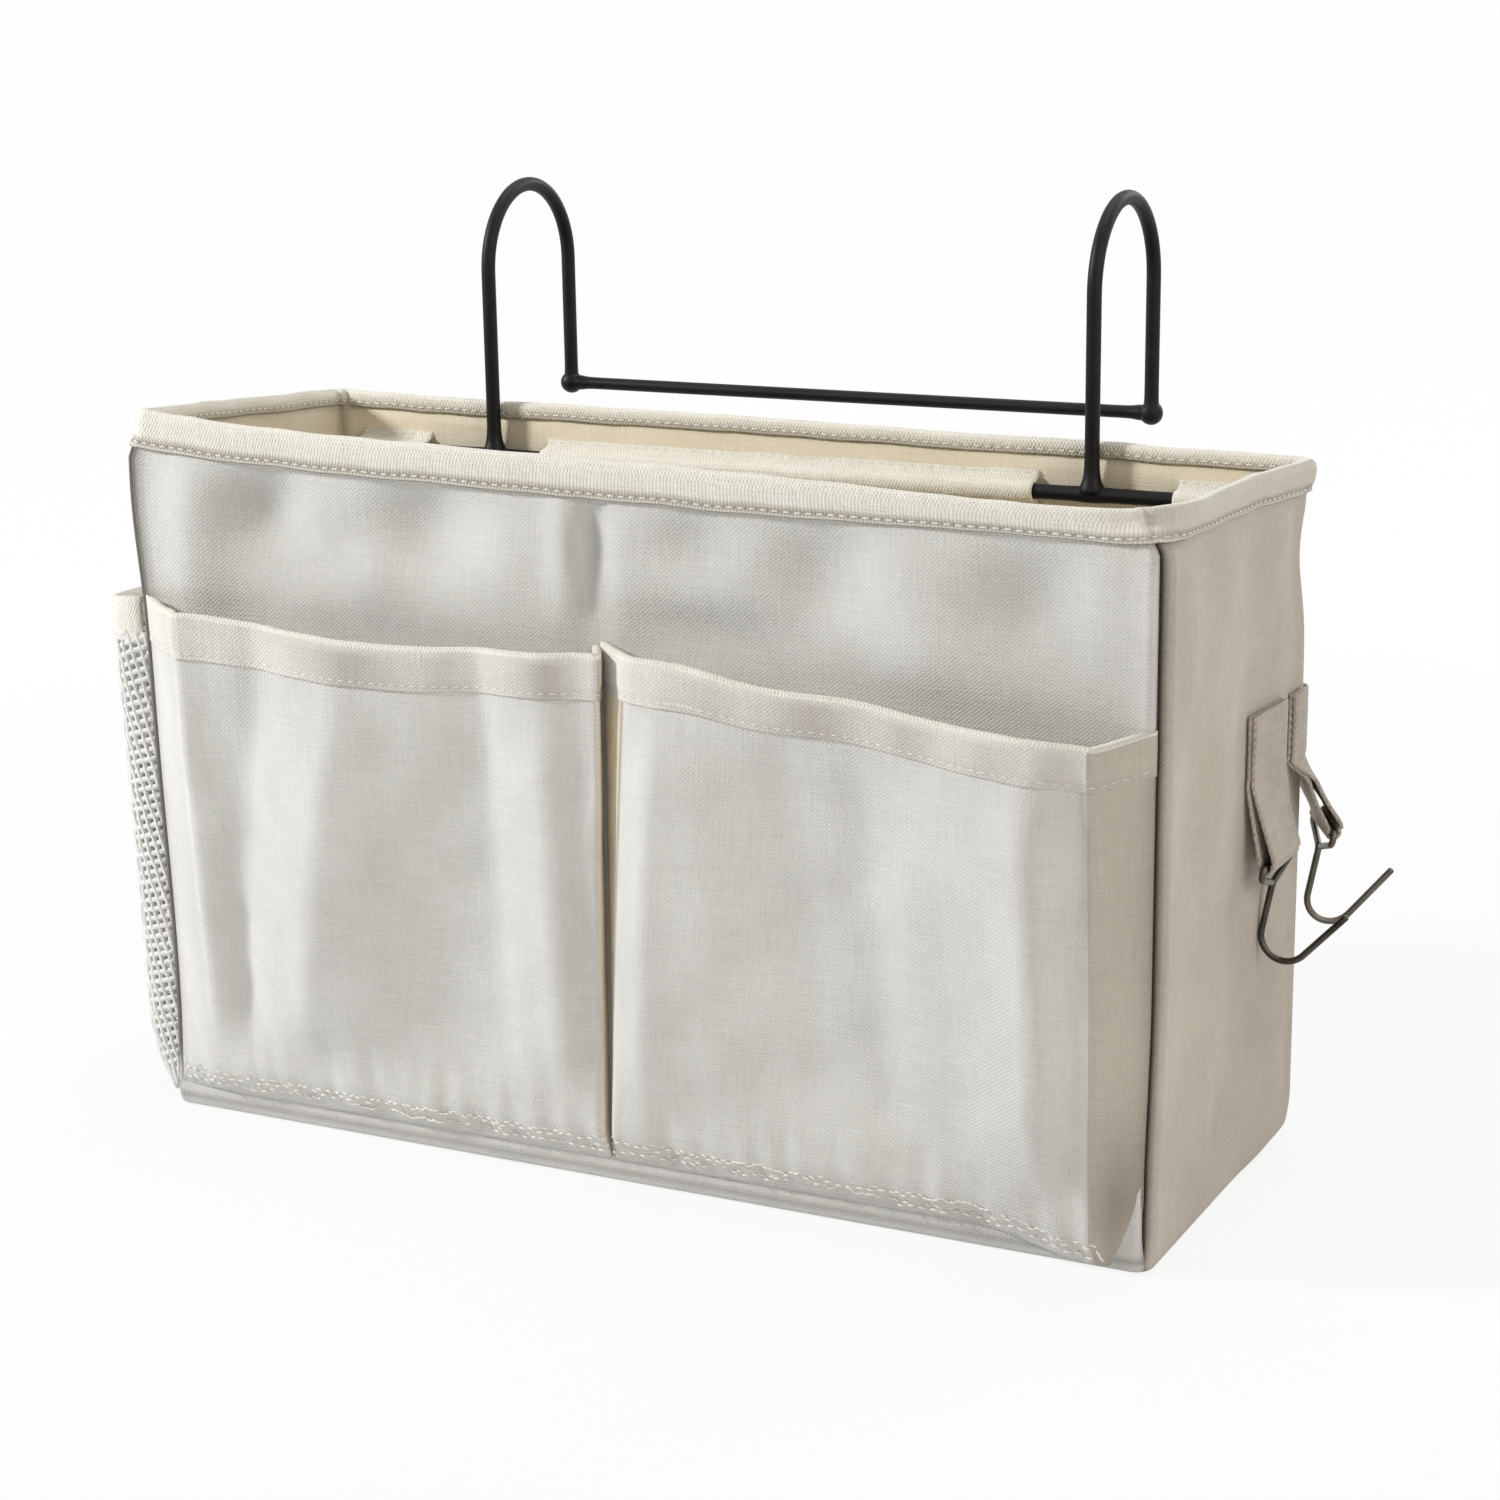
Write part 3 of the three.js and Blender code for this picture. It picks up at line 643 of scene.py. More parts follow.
def slab(name, inset, low, high, corner, material, sag=0.0):
    # a flat panel whose corners are drawn in to a radius
    halfX, halfY = bag["halfWidth"] - inset, bag["halfDepth"] - inset
    columns, rows = bag["slab"]
    x, y = np.meshgrid(np.linspace(-1, 1, columns) * halfX, np.linspace(-1, 1, rows) * halfY)
    overX = np.clip(np.abs(x) - (halfX - corner), 0, None)
    overY = np.clip(np.abs(y) - (halfY - corner), 0, None)
    far = np.hypot(overX, overY)
    pull = np.where(far > corner, corner / np.maximum(far, 1e-6), 1)
    x = np.sign(x) * (np.abs(x) - overX * (1 - pull))
    y = np.sign(y) * (np.abs(y) - overY * (1 - pull))
    edge = np.minimum(halfX - np.abs(x), halfY - np.abs(y))
    z = high + sag * grain(np.stack([x, y, 0 * x], -1), 60, 21) * smooth(0, 20, edge)
    return sheet(name, warp(np.stack([x, y, z], -1)), high - low, material)


boardLow, boardHigh = cornersOf("base_board")
bottom = slab("bottom_canvas", 1.3, 0.2, 1.7, bag["corner"], canvasCloth)
settle(bottom, "bag", "canvas", "bottom_panel")
board = slab("covered_base_board", bag["halfWidth"] - boardHigh[0], boardLow[2], boardHigh[2], 5, liningCloth,
             sag=0.5)
settle(board, "bag", "base_board", "base_board")
print("lining, bottom and base board made")

# Binding tape over the rim
rim = {"outer": 11.2, "narrow": 0.27, "inner": 9, "innerBack": 5.4, "stand": 1.5, "thick": 1.0, "wave": 0.3,
       "columns": (90, 44)}
ringShares = {}
for side in sides:  # closer together near the corners
    even = np.linspace(0, 1, forSide(side, *rim["columns"]), endpoint=False)
    ringShares[side] = even - 0.75 * np.sin(2 * math.pi * even) / (2 * math.pi)


def rimRow(out, drop, dropBack=None):
    # a line round the rim, out from the cloth's face and drop below its top edge
    dropBack = drop if dropBack is None else dropBack
    rows = []
    for side, shares in ringShares.items():
        ease = {"back": np.ones_like(shares), "front": np.zeros_like(shares),
                "right": smooth(0.75, 1, shares), "left": 1 - smooth(0.75, 1, shares)}[side]
        narrow = {"front": smooth(0.6, 0.92, shares), "right": 1 - 0.5 * shares, "back": 0.5 - 0.5 * shares}
        scale = 1 - rim["narrow"] * narrow.get(side, 0 * shares)
        z = bag["top"] - (drop + (dropBack - drop) * ease) * scale
        stand = out + 0.5 * seamFold(side, shares) + 0.6 * softness(side, shares, z)
        rows.append(sideSpot(side, shares, z, stand)[0])
    row = np.concatenate(rows)
    ripple = grain(row, 9, 31)[..., None] * rowFacing(row, True)
    row = row + rim["wave"] * ripple
    row[:, 2] += 0.5 * grain(row * (1, 1, 0), 14, 33)
    return warp(row)


face, back, thick = rim["stand"], -bag["cloth"] - bag["lining"] - 0.3, rim["thick"]
outer, inner, innerBack = rim["outer"], rim["inner"], rim["innerBack"]
section = [  # out from the face, drop below the top, and the drop along the back where it differs
    (face - 0.5, outer), (face, outer - 0.6), (face - 0.35, outer - 1.7), (face + 0.15, outer - 4),
    (face + 0.15, 5.2), (face + 0.1, 3.2), (face - 0.3, 1.2), (face - 1.1, 0.25), (-0.9, 0),
    (back - 0.2, 0.2), (back - thick, 1.2), (back - thick - 0.15, 3, 2.4),
    (back - thick - 0.1, inner - 3.2, innerBack - 2.4), (back - thick + 0.25, inner - 1.6, innerBack - 1.5),
    (back - thick, inner - 0.5, innerBack - 0.5), (back - thick + 0.4, inner, innerBack),
    (back - 0.05, inner, innerBack), (back - 0.05, 3.0, 3.0), (0.2, 3.0), (0.2, 5.2),
    (0.2, outer - 4), (0.2, outer - 1.7), (0.2, outer),
]
sectionShade = np.array([0.85, 0.1, 0.7] + [0] * 10 + [0.45, 0.3, 0.5] + [0] * 7)
rimRings = np.stack([rimRow(*part) for part in section], axis=1)
rimShade = np.tile(sectionShade, (len(rimRings), 1))
ringSides = np.concatenate([np.full(len(shares), side == "right") for side, shares in ringShares.items()])
rimShade[ringSides, 3:8] += 0.26  # painted shade, darker on the right side
binding = loft("rim_binding_tape", rimRings, tapeCloth, closed=True, creaseShade=rimShade)
settle(binding, "bag", "binding_tape", "rim_binding")
print("rim binding made")

# Front pockets
pocketLow, pocketHigh = cornersOf("left_pocket")
pocket = {
    "bottom": pocketLow[2] - 1, "top": pocketHigh[2], "cloth": 1.5,
    "outerFold": {-1: 141, 1: 150}, "outerSeam": {-1: (161.5, 0.3), 1: (162.6, 1.6)},
    "seamFoot": {-1: 0, 1: 7.0}, "foldRound": {-1: (9, 3.2), 1: (3.2, 3.2)},
    "outerDepth": 16, "innerDepth": 12.5, "bulge": 1.5, "foot": 0.34,
    "innerFold": {-1: (2.6, -7.0), 1: (-0.9, 14.6)},  # at the foot, and added by the mouth
    "innerSeam": {-1: 2.6, 1: -1.4}, "droop": {-1: (0.0, 0.0), 1: (-2.8, 7.4)}, "seamRise": {-1: 0, 1: 2.4},
    "folds": {-1: 3.0, 1: 4.2}, "lean": {-1: 30, 1: 14}, "mouthCalm": {-1: 0.5, 1: 0.85},
    "foldLine": {  # places across a pocket, and how far the cloth stands out there
        -1: ((-4.5, 3, 13, 35.4, 64.7, 91.4, 123.1, 139.2), (-2.5, 0.5, 4.6, -5.6, 1.0, 6.8, -4.4, 2.0)),
        1: ((16.0, 38.3, 66, 86, 108.2, 136, 147, 151), (6.4, 2.0, -5.0, -6.0, -0.6, 8.0, -2.0, -1.2))},
    "hemShadePatches": {-1: ((-74, 15, 0.34), (-12, 7, 0.3), (-45, 8, 0.12)),
                 1: ((39, 10, 0.22), (72, 12, 0.26), (100, 9, 0.3), (124, 8, 0.22), (143, 6, 0.14))},
    "hem": 12, "hemThick": 0.5, "footDroop": {-1: 0, 1: 6.5},
    "gusset": 16, "turn": 8, "face": 96, "pleat": 12,  # points in each stretch of a level line
}


def pocketRow(side, share, out=0.0):
    # one level line of a pocket from left to right, at a share of its height
    face = -bag["halfDepth"] - 0.3
    fill = pocket["foot"] + (1 - pocket["foot"]) * max(share, 0) ** 0.8
    fill = fill * (0.2 + 0.8 * smooth(0, 0.07, share))
    foldFoot, foldRise = pocket["innerFold"][side]
    seamX, seamBack = pocket["outerSeam"][side]
    seamX = seamX - pocket["seamFoot"][side] * (1 - smooth(0, 0.13, share))
    outerFold = pocket["outerFold"][side]
    spots = [(seamX, face + seamBack), (outerFold, face - pocket["outerDepth"] * fill),
             (foldFoot + foldRise * share, face - pocket["innerDepth"] * fill),
             (pocket["innerSeam"][side], face)]
    spots = np.array(spots) * (side, 1)
    outerRound, innerRound = pocket["foldRound"][side]
    radii = (0, outerRound, min(innerRound, 0.4 * np.linalg.norm(spots[3] - spots[2]) + 0.4), 0)
    line = []
    for index, count in ((0, pocket["gusset"]), (1, pocket["face"]), (2, pocket["pleat"])):
        start, end = spots[index], spots[index + 1]
        reach = unit(end - start)
        radius = radii[index + 1]
        near = end - reach * radius
        line += list(np.linspace(start + reach * radii[index], near, count))
        if index < 2:
            far = end + unit(spots[index + 2] - end) * radius
            line += turnedCorner(near, end, far, pocket["turn"] + 1)[1:-1]
    line = np.array(line)
    if side > 0:
        line = line[::-1]
    x, y = line[:, 0], line[:, 1]
    across = np.clip((side * x - 8) / (outerFold - 8), 0, 1)
    inner, outer = pocket["droop"][side]
    top = pocket["top"] - inner - (outer - inner) * across ** 1.2
    top = top + pocket["seamRise"][side] * smooth(outerFold, seamX, side * x)
    foot = pocket["bottom"] - pocket["footDroop"][side] * smooth(112, outerFold, side * x)
    z = foot + (top - foot) * share
    level = np.stack([x, 0 * x, z], -1)
    loose = smooth(0.02, 0.2, share) * smooth(-2, 12, side * x - foldRise * share)
    loose = loose * (1 - smooth(outerFold - 3, outerFold, side * x))
    swell = pocket["bulge"] * np.sin(math.pi * across) * (0.5 + 0.5 * smooth(0, 0.5, share))
    folds = pocket["folds"][side] * grain(level * (1, 1, 0.3), 32, 41 + side)
    folds = folds + 0.9 * grain(level, 17, 47 + side)
    lean = pocket["lean"][side] * (share - 0.55) * smooth(30, 60, side * x) * (1 - smooth(115, 135, side * x))
    blur = (-3, -1.5, 0, 1.5, 3)
    fan = sum(np.interp(side * x + lean + shift, *pocket["foldLine"][side]) for shift in blur) / len(blur)
    folds = folds + fan * smooth(0.02, 0.3, share) * (1 - pocket["mouthCalm"][side] * smooth(0.78, 1, share))
    puckers = 1.6 * grain(level * (1, 1, 0.2), 7, 53 + side) * (1 - smooth(0.02, 0.22, share))
    puckers = puckers * smooth(0, 0.03, share)
    y = y - (swell + folds) * loose - puckers
    sag = 2.4 * grain(np.stack([x, 0 * x, 0 * x], -1), 40, 57 + side) * smooth(0.7, 1, share)
    row = np.stack([x, y, z + sag], -1)
    if np.any(out):
        fromSeam = np.arange(len(row)) if side < 0 else np.arange(len(row))[::-1]
        reach = 0.05 + 0.95 * smooth(0, 7, fromSeam)[:, None]
        row = row + out * reach * rowFacing(row)
    return row


for side, name in ((-1, "left"), (1, "right")):
    shares = np.concatenate([[0, 0.006], np.linspace(0.015, 0.99, 58), [0.996, 1]])
    grid = warp(np.stack([pocketRow(side, share) for share in shares]))
    columns = np.arange(grid.shape[1]) if side < 0 else np.arange(grid.shape[1])[::-1]
    inner = grid.shape[1] - 1 - columns
    shade = 0.5 * np.exp(-columns / 2.5) + 0.4 * np.exp(-inner / 1.2)
    shade = shade + 0.15 * hump(shares, 0, 0.01)[:, None]
    if side > 0:  # painted shadow by the inner fold, and painted shade in the hollow low down in the open gusset
        shade = shade + 0.6 * hump(inner, pocket["pleat"] - 0.5, 1.4)
        shade = shade + 0.42 * hump(columns, 9, 8) * hump(shares, 0.12, 0.14)[:, None]
    made = sheet(f"{name}_pocket_cloth", grid, pocket["cloth"], canvasCloth, creaseShade=shade)
    made.data.materials.append(shadedSideCloth if side > 0 else liningCloth)
    made.data.materials.append(liningCloth)
    warm = grid.shape[1] - 1 - (pocket["gusset"] if side > 0 else pocket["pleat"]) - pocket["turn"] // 2
    spans = 2 * (grid.shape[1] - 1)
    for face in made.data.polygons[:spans * (len(shares) - 1)]:  # painted shade: the right pocket's gusset takes the darker, warmer copy of the canvas; the pleats by the slit take the golden lining finish
        column = face.index % spans // 2
        if column >= warm or side > 0 and column < pocket["pleat"]:
            face.material_index = 1 if column >= warm else 2
    settle(made, "bag", "canvas", f"{name}_pocket")
    tall = pocket["top"] - pocket["bottom"]
    over, thick, inside = pocket["hem"], pocket["hemThick"], -pocket["cloth"]
    hemSection = [(0.4, over), (thick - 0.1, over - 0.4), (thick - 0.25, over - 1.6),
                  (thick + 0.2, over - 4), (thick + 0.2, 3), (thick, 0.7), (thick * 0.3, -0.5),
                  (inside - 0.3, -0.5), (inside - thick, 0.7), (inside - thick, 8),
                  (inside - 0.1, 8.4), (inside - 0.1, 0.6), (0.12, 0.6), (0.12, over)]
    rings = []
    for out, drop in hemSection:
        row = pocketRow(side, 1 - max(drop, 0) / tall, out)
        row[:, 2] -= min(drop, 0)
        rings.append(warp(row))
    # painted shade at the hem's lower edge, and in patches along its outer face
    hemShade = np.tile(np.array([0.1, 0.0, 0.06] + [0] * 11), (len(rings[0]), 1))
    for centre, width, depth in pocket["hemShadePatches"][side]:
        hemShade[:, :5] += depth * hump(rings[0][:, 0], centre, width)[:, None]
    made = loft(f"{name}_hem_band", np.stack(rings, axis=1), hemCloth, creaseShade=hemShade)
    made.data.materials.append(tapeCloth)
    made.data.materials.append(shadedSideCloth)
    for face in made.data.polygons:  # painted highlight: the faces over the top fold take the paler tape finish; painted shade: the faces turned to the right take the darker copy of the canvas
        if face.index % len(hemSection) in (5, 6, 7):
            face.material_index = 1
        elif face.index // len(hemSection) >= warm:
            face.material_index = 2
    settle(made, "bag", "canvas", f"{name}_pocket_hem")
print("front pockets and hems made")

# Mesh pocket: net of two sets of slanting yarns on a swelling surface, with a binding round its mouth
netLow, netHigh = cornersOf("mesh_pocket")
net = {
    "bottom": netLow[2] - 4, "top": netHigh[2], "seat": bag["halfWidth"] + 0.9, "halfSpan": 54,
    "bulge": 24.5, "foot": 0.92,
    "wale": {"angle": 16, "pitch": 2.9, "radius": 1.05}, "cross": {"angle": -72, "pitch": 3.3, "radius": 0.9},
    "step": 2.4, "sides": 5, "bind": 13, "bindInside": 7, "bindPoints": 90,
}


def netSpot(turn, z, out=0.0):
    # turn runs from the back edge to the front edge, 0 to 1
    share = np.clip((z - net["bottom"]) / (net["top"] - net["bottom"]), 0, 1.05)
    fill = net["foot"] * (1 - np.exp(-share / 0.05)) + (1 - net["foot"]) * share
    angle = math.pi * turn
    boxy = np.sqrt(np.clip(np.sin(angle), 0, None))
    soft = 1.2 * grain(np.stack([60 * turn, z * 0.6, 0 * z], -1), 26, 61) * np.sin(angle)
    soft = soft * smooth(0.03, 0.2, share)
    x = -net["seat"] - (net["bulge"] * fill + soft + out) * boxy - 0.3 * out
    y = (net["halfSpan"] + 0.4 * out) * np.cos(angle)
    sag = -3.0 * np.sin(angle) * smooth(0.75, 1, share)
    return warp(np.stack([x, y, z + sag], -1))


fineTurn = np.linspace(0, 1, 400)
netRun = runs(netSpot(fineTurn, np.full(400, 0.5 * (net["bottom"] + net["top"]))))
netWide, netTall = netRun[-1], net["top"] - net["bottom"] - net["bind"] + 2


def slantLines(angle, pitch):
    # straight lines across the net's flat pattern
    direction = np.array([math.cos(math.radians(angle)), math.sin(math.radians(angle))])
    normal = np.array([-direction[1], direction[0]])
    corners = np.array([(0, 0), (netWide, 0), (netWide, netTall), (0, netTall)])
    lines = []
    for offset in np.arange((corners @ normal).min() + pitch / 2, (corners @ normal).max(), pitch):
        reach = np.arange((corners @ direction).min(), (corners @ direction).max() + 0.1, 0.4)
        spots = reach[:, None] * direction + offset * normal
        spots = spots[np.all((spots >= 0) & (spots <= (netWide, netTall)), axis=1)]
        if len(spots) > 8:
            lines.append(evenly(spots, max(3, int(runs(spots)[-1] / net["step"]))))
    return lines


def edgeObject(name, lines, facings=None):
    verts, edges = [], []
    for line in lines:
        start = len(verts)
        verts += [tuple(spot * metre) for spot in line]
        edges += [(start + k, start + k + 1) for k in range(len(line) - 1)]
    mesh = bpy.data.meshes.new(name)
    mesh.from_pydata(verts, edges, [])
    if facings is not None:
        layer = mesh.attributes.new("facing", "FLOAT_VECTOR", "POINT")
        layer.data.foreach_set("vector", np.concatenate(facings).ravel())
    return linked(name, mesh)


def newTree(name, inputs):
    tree = bpy.data.node_groups.new(name, "GeometryNodeTree")
    tree.interface.new_socket("Geometry", in_out="INPUT", socket_type="NodeSocketGeometry")
    for label, kind in inputs:
        tree.interface.new_socket(label, in_out="INPUT", socket_type=kind)
    tree.interface.new_socket("Geometry", in_out="OUTPUT", socket_type="NodeSocketGeometry")
    return tree, tree.nodes.new("NodeGroupInput"), tree.nodes.new("NodeGroupOutput")


def chain(tree, *pairs):
    for source, target in pairs:
        tree.links.new(source, target)


def addNodes(tree, *kinds):
    return [tree.nodes.new(f"GeometryNode{kind}") for kind in kinds]


def finishTree(tree, given, result, grown, finishInput):
    # every tree ends as a plain, smooth mesh in one finish
    smoothShade, realize, paint = addNodes(tree, "SetShadeSmooth", "RealizeInstances", "SetMaterial")
    chain(tree, (grown, realize.inputs[0]), (realize.outputs[0], smoothShade.inputs[0]),
          (smoothShade.outputs[0], paint.inputs["Geometry"]),
          (given.outputs[finishInput], paint.inputs["Material"]), (paint.outputs[0], result.inputs[0]))
    return tree


def yarnTree():
    # yarns: every line of edges becomes a round yarn
    tree, given, result = newTree("netYarns", [
        ("Radius", "NodeSocketFloat"), ("Sides", "NodeSocketInt"), ("Yarn", "NodeSocketMaterial")])
    toCurve, ring, sweep = addNodes(tree, "MeshToCurve", "CurvePrimitiveCircle", "CurveToMesh")
    sweep.inputs["Fill Caps"].default_value = True
    chain(tree, (given.outputs["Geometry"], toCurve.inputs["Mesh"]),
          (given.outputs["Radius"], ring.inputs["Radius"]),
          (given.outputs["Sides"], ring.inputs["Resolution"]),
          (toCurve.outputs["Curve"], sweep.inputs["Curve"]),
          (ring.outputs["Curve"], sweep.inputs["Profile Curve"]))
    return finishTree(tree, given, result, sweep.outputs["Mesh"], "Yarn")


def stitchTree():
    # stitches: short rounded lengths of thread laid along each line, facing out of the cloth
    tree, given, result = newTree("threadStitches", [
        ("Spacing", "NodeSocketFloat"), ("Length", "NodeSocketFloat"), ("Width", "NodeSocketFloat"),
        ("Rise", "NodeSocketFloat"), ("Thread", "NodeSocketMaterial")])
    toCurve, resample, tangent, facing, bead, spread = addNodes(
        tree, "MeshToCurve", "ResampleCurve", "InputTangent", "InputNamedAttribute", "MeshUVSphere",
        "InstanceOnPoints")
    resample.mode = "LENGTH"
    facing.data_type = "FLOAT_VECTOR"
    facing.inputs["Name"].default_value = "facing"
    lay = tree.nodes.new("FunctionNodeAlignRotationToVector")
    lay.axis = "X"
    stand = tree.nodes.new("FunctionNodeAlignRotationToVector")
    stand.axis = "Z"
    stand.pivot_axis = "X"
    for label, value in (("Segments", 6), ("Rings", 4), ("Radius", 0.5)):
        bead.inputs[label].default_value = value
    size = tree.nodes.new("ShaderNodeCombineXYZ")
    for index, label in enumerate(("Length", "Width", "Rise")):
        chain(tree, (given.outputs[label], size.inputs[index]))
    chain(tree, (given.outputs["Geometry"], toCurve.inputs["Mesh"]),
          (toCurve.outputs["Curve"], resample.inputs["Curve"]),
          (given.outputs["Spacing"], resample.inputs["Length"]),
          (resample.outputs[0], spread.inputs["Points"]), (bead.outputs["Mesh"], spread.inputs["Instance"]),
          (tangent.outputs[0], lay.inputs["Vector"]), (lay.outputs[0], stand.inputs["Rotation"]),
          (facing.outputs["Attribute"], stand.inputs["Vector"]),
          (stand.outputs[0], spread.inputs["Rotation"]),
          (size.outputs[0], spread.inputs["Scale"]))
    return finishTree(tree, given, result, spread.outputs[0], "Thread")


def grow(source, tree, name, values):
    # runs a tree on a line object and keeps the result as a plain mesh
    modifier = source.modifiers.new("grow", "NODES")
    modifier.node_group = tree
    for item in tree.interface.items_tree:
        if item.in_out == "INPUT" and item.name in values:
            modifier[item.identifier] = values[item.name]
    made = bpy.data.meshes.new_from_object(source.evaluated_get(bpy.context.evaluated_depsgraph_get()))
    made.name = name
    modifiedMesh = source.data
    source.modifiers.remove(modifier)
    bpy.data.objects.remove(source)
    bpy.data.meshes.remove(modifiedMesh)
    return linked(name, made)


def joinPieces(name, parts):
    # one mesh from several plain ones that share a finish
    verts, faces = [], []
    for part in parts:
        start = len(verts)
        verts += [tuple(vert.co) for vert in part.data.vertices]
        faces += [[start + k for k in face.vertices] for face in part.data.polygons]
    mesh = bpy.data.meshes.new(name)
    mesh.from_pydata(verts, [], faces)
    mesh.polygons.foreach_set("use_smooth", [True] * len(mesh.polygons))
    mesh.materials.append(parts[0].data.materials[0])
    for part in parts:
        old = part.data
        bpy.data.objects.remove(part)
        bpy.data.meshes.remove(old)
    return linked(name, mesh)


yarns = yarnTree()
stitches = stitchTree()
netParts = []
for label, layer in (("wale", -0.3), ("cross", 0.3)):
    facts = net[label]
    lines = []
    for flat in slantLines(facts["angle"], facts["pitch"]):
        turn = np.interp(flat[:, 0], netRun, fineTurn)
        weave = layer + 0.25 * np.sin(flat[:, 0] * 2.1 + flat[:, 1] * 1.3)
        lines.append(netSpot(turn, net["bottom"] + 1 + flat[:, 1], weave))
    netParts.append(grow(edgeObject(f"{label}_lines", lines), yarns, f"{label}_yarns",
                         {"Radius": facts["radius"] * metre, "Sides": net["sides"], "Yarn": netYarn}))
netPiece = joinPieces("mesh_pocket_net", netParts)
settle(netPiece, "bag", "mesh", "mesh_pocket")

count, bind, bindInside = net["bindPoints"], net["bind"], net["bindInside"]
turns = 0.5 - 0.5 * np.cos(np.linspace(0.02, math.pi - 0.02, count))
turns = 0.35 * turns + 0.65 * np.linspace(0.004, 0.996, count)  # closer together at the ends
bindSection = [(0.4, bind), (1.2, bind - 0.5), (0.95, bind - 1.7), (1.5, bind - 5), (1.4, 2.5), (1.0, 0.6),
               (0, 0), (-1.2, 0.2), (-1.9, 1.6), (-1.9, bindInside), (-0.9, bindInside), (-0.9, 1.6),
               (0.3, 1.6), (0.3, bind)]


def bindRow(out, drop):
    return netSpot(turns, np.full(len(turns), net["top"] - drop), out)


bindRings = np.stack([bindRow(*part) for part in bindSection], axis=1)
netBinding = loft("mesh_pocket_binding_tape", bindRings, tapeCloth)
settle(netBinding, "bag", "binding_tape", "mesh_pocket_binding")
print("mesh pocket made")

# Casings on the back panel, and the black frame whose rod turns in them
rodAxis = np.array(joints["frame_fold"]["pos_m"]) / metre
hookLow, hookHigh = cornersOf("left_hook")
rodLow, rodHigh = cornersOf("support_rod")
barLow, barHigh = cornersOf("crossbar")
knobLow, knobHigh = cornersOf("left_knob")
steel = {
    "wire": 4.5, "rod": 4.5, "bar": 4.0, "knob": 7.4,
    "hookX": {"left": 0.5 * (hookLow[0] + hookHigh[0]), "right": -0.5 * (hookLow[0] + hookHigh[0])},
    "frontY": rodAxis[1], "rearY": 0.5 * (knobLow[1] + knobHigh[1]), "barZ": 0.5 * (barLow[2] + barHigh[2]),
    "crown": hookHigh[2] - 2.25, "weld": 1.5, "weldRun": 2.4, "sides": 18,
}
casing = {"nodes": ("casing_left", "casing_middle", "casing_right"), "cloth": 0.9, "bend": 3.2, "wrap": 104,
          "sewnY": bag["halfDepth"] - 2.6, "above": 5.6, "below": 7.0, "gather": 0.35}
for name in casing["nodes"]:
    low, high = cornersOf(name)
    angles = np.radians(np.linspace(-casing["wrap"], casing["wrap"], 22))
    profile = [(casing["sewnY"], -casing["below"]), (casing["sewnY"], -5.6), (casing["sewnY"] - 0.1, -4.4)]
    profile += [(rodAxis[1] - casing["bend"] * math.cos(a), casing["bend"] * math.sin(a)) for a in angles]
    profile += [(casing["sewnY"] - 0.1, 4.2), (casing["sewnY"], 4.9), (casing["sewnY"], casing["above"])]
    profile = evenly(np.array(profile), 40)
    xs = low[0] + (high[0] - low[0]) * spaced(int((high[0] - low[0]) / 1.8), high[0] - low[0])
    grid = np.stack([levelLine(xs, y, rodAxis[2] + z) for y, z in profile])
    sewn = smooth(3.2, 5.4, np.abs(grid[..., 2] - rodAxis[2]))
    gather = casing["gather"] * grain(grid * (1, 0.6, 0.3), 7, 71) * (1 - sewn)
    grid[..., 1] -= np.abs(gather) * 1.3
    grid[..., 2] += 0.5 * grain(grid * (1, 0, 0), 18, 73) * sewn
    made = sheet(f"{name}_cloth", grid, casing["cloth"], tapeCloth)
    settle(made, "bag", "canvas", name)
print("casings made")


def weldFlare(distance):
    return steel["weld"] * np.exp(-np.clip(distance, 0, None) / steel["weldRun"])


rodX = np.linspace(rodLow[0], rodHigh[0], 160)
rodRadius = steel["rod"] / 2 + 0.35 * sum(hump(rodX, x, 4.5) for x in steel["hookX"].values())
rod = tube("black_support_rod", levelLine(rodX, *rodAxis[1:]), rodRadius, blackPaint, steel["sides"])
settle(rod, "rail_frame", "black_steel", "support_rod")
for name, x in steel["hookX"].items():
    radius = 0.5 * (steel["rearY"] - steel["frontY"])
    crownZ = steel["crown"] - radius
    angles = np.linspace(math.pi, 0, 40)
    path = [(steel["frontY"], z) for z in np.linspace(rodAxis[2] + 0.6, crownZ, 60)[:-1]]
    path += [(steel["frontY"] + radius + radius * math.cos(a), crownZ + radius * math.sin(a)) for a in angles]
    path += [(steel["rearY"], z) for z in np.linspace(crownZ, steel["barZ"] + 1, 40)[1:]]
    path = np.array([(x, y, z) for y, z in path])
    run = runs(path)
    radii = steel["wire"] / 2 + weldFlare(run - 1.6) + 0.5 * np.exp(-(run[-1] - run) / 1.4)
    wire = tube(f"{name}_hook_wire", path, radii, blackPaint, steel["sides"], roundEnds=False)
    settle(wire, "rail_frame", "black_steel", f"{name}_hook")
    rings = []
    for t in np.linspace(0.04, math.pi - 0.04, 18):
        ringAngles = np.linspace(0, 2 * math.pi, 24, endpoint=False)
        ball = np.stack([np.sin(t) * np.cos(ringAngles), np.sin(t) * np.sin(ringAngles),
                         np.full(24, -np.cos(t))], -1)
        swell = steel["knob"] / 2 * (1 + 0.03 * grain(ball, 0.9, 81 + len(name)))
        rings.append(ball * swell[:, None] + (x, steel["rearY"], steel["barZ"]))
    knob = loft(f"{name}_ball_knob", rings, blackPaint)
    settle(knob, "rail_frame", "black_steel", f"{name}_knob")
barX = np.linspace(steel["hookX"]["left"] + 1, steel["hookX"]["right"] - 1, 120)
fromEnd = np.minimum(barX - barX[0], barX[-1] - barX)
barPath = levelLine(barX, steel["rearY"], steel["barZ"])
barRadius = steel["bar"] / 2 + 0.5 * np.exp(-np.clip(fromEnd - 3, 0, None) / 1.5)
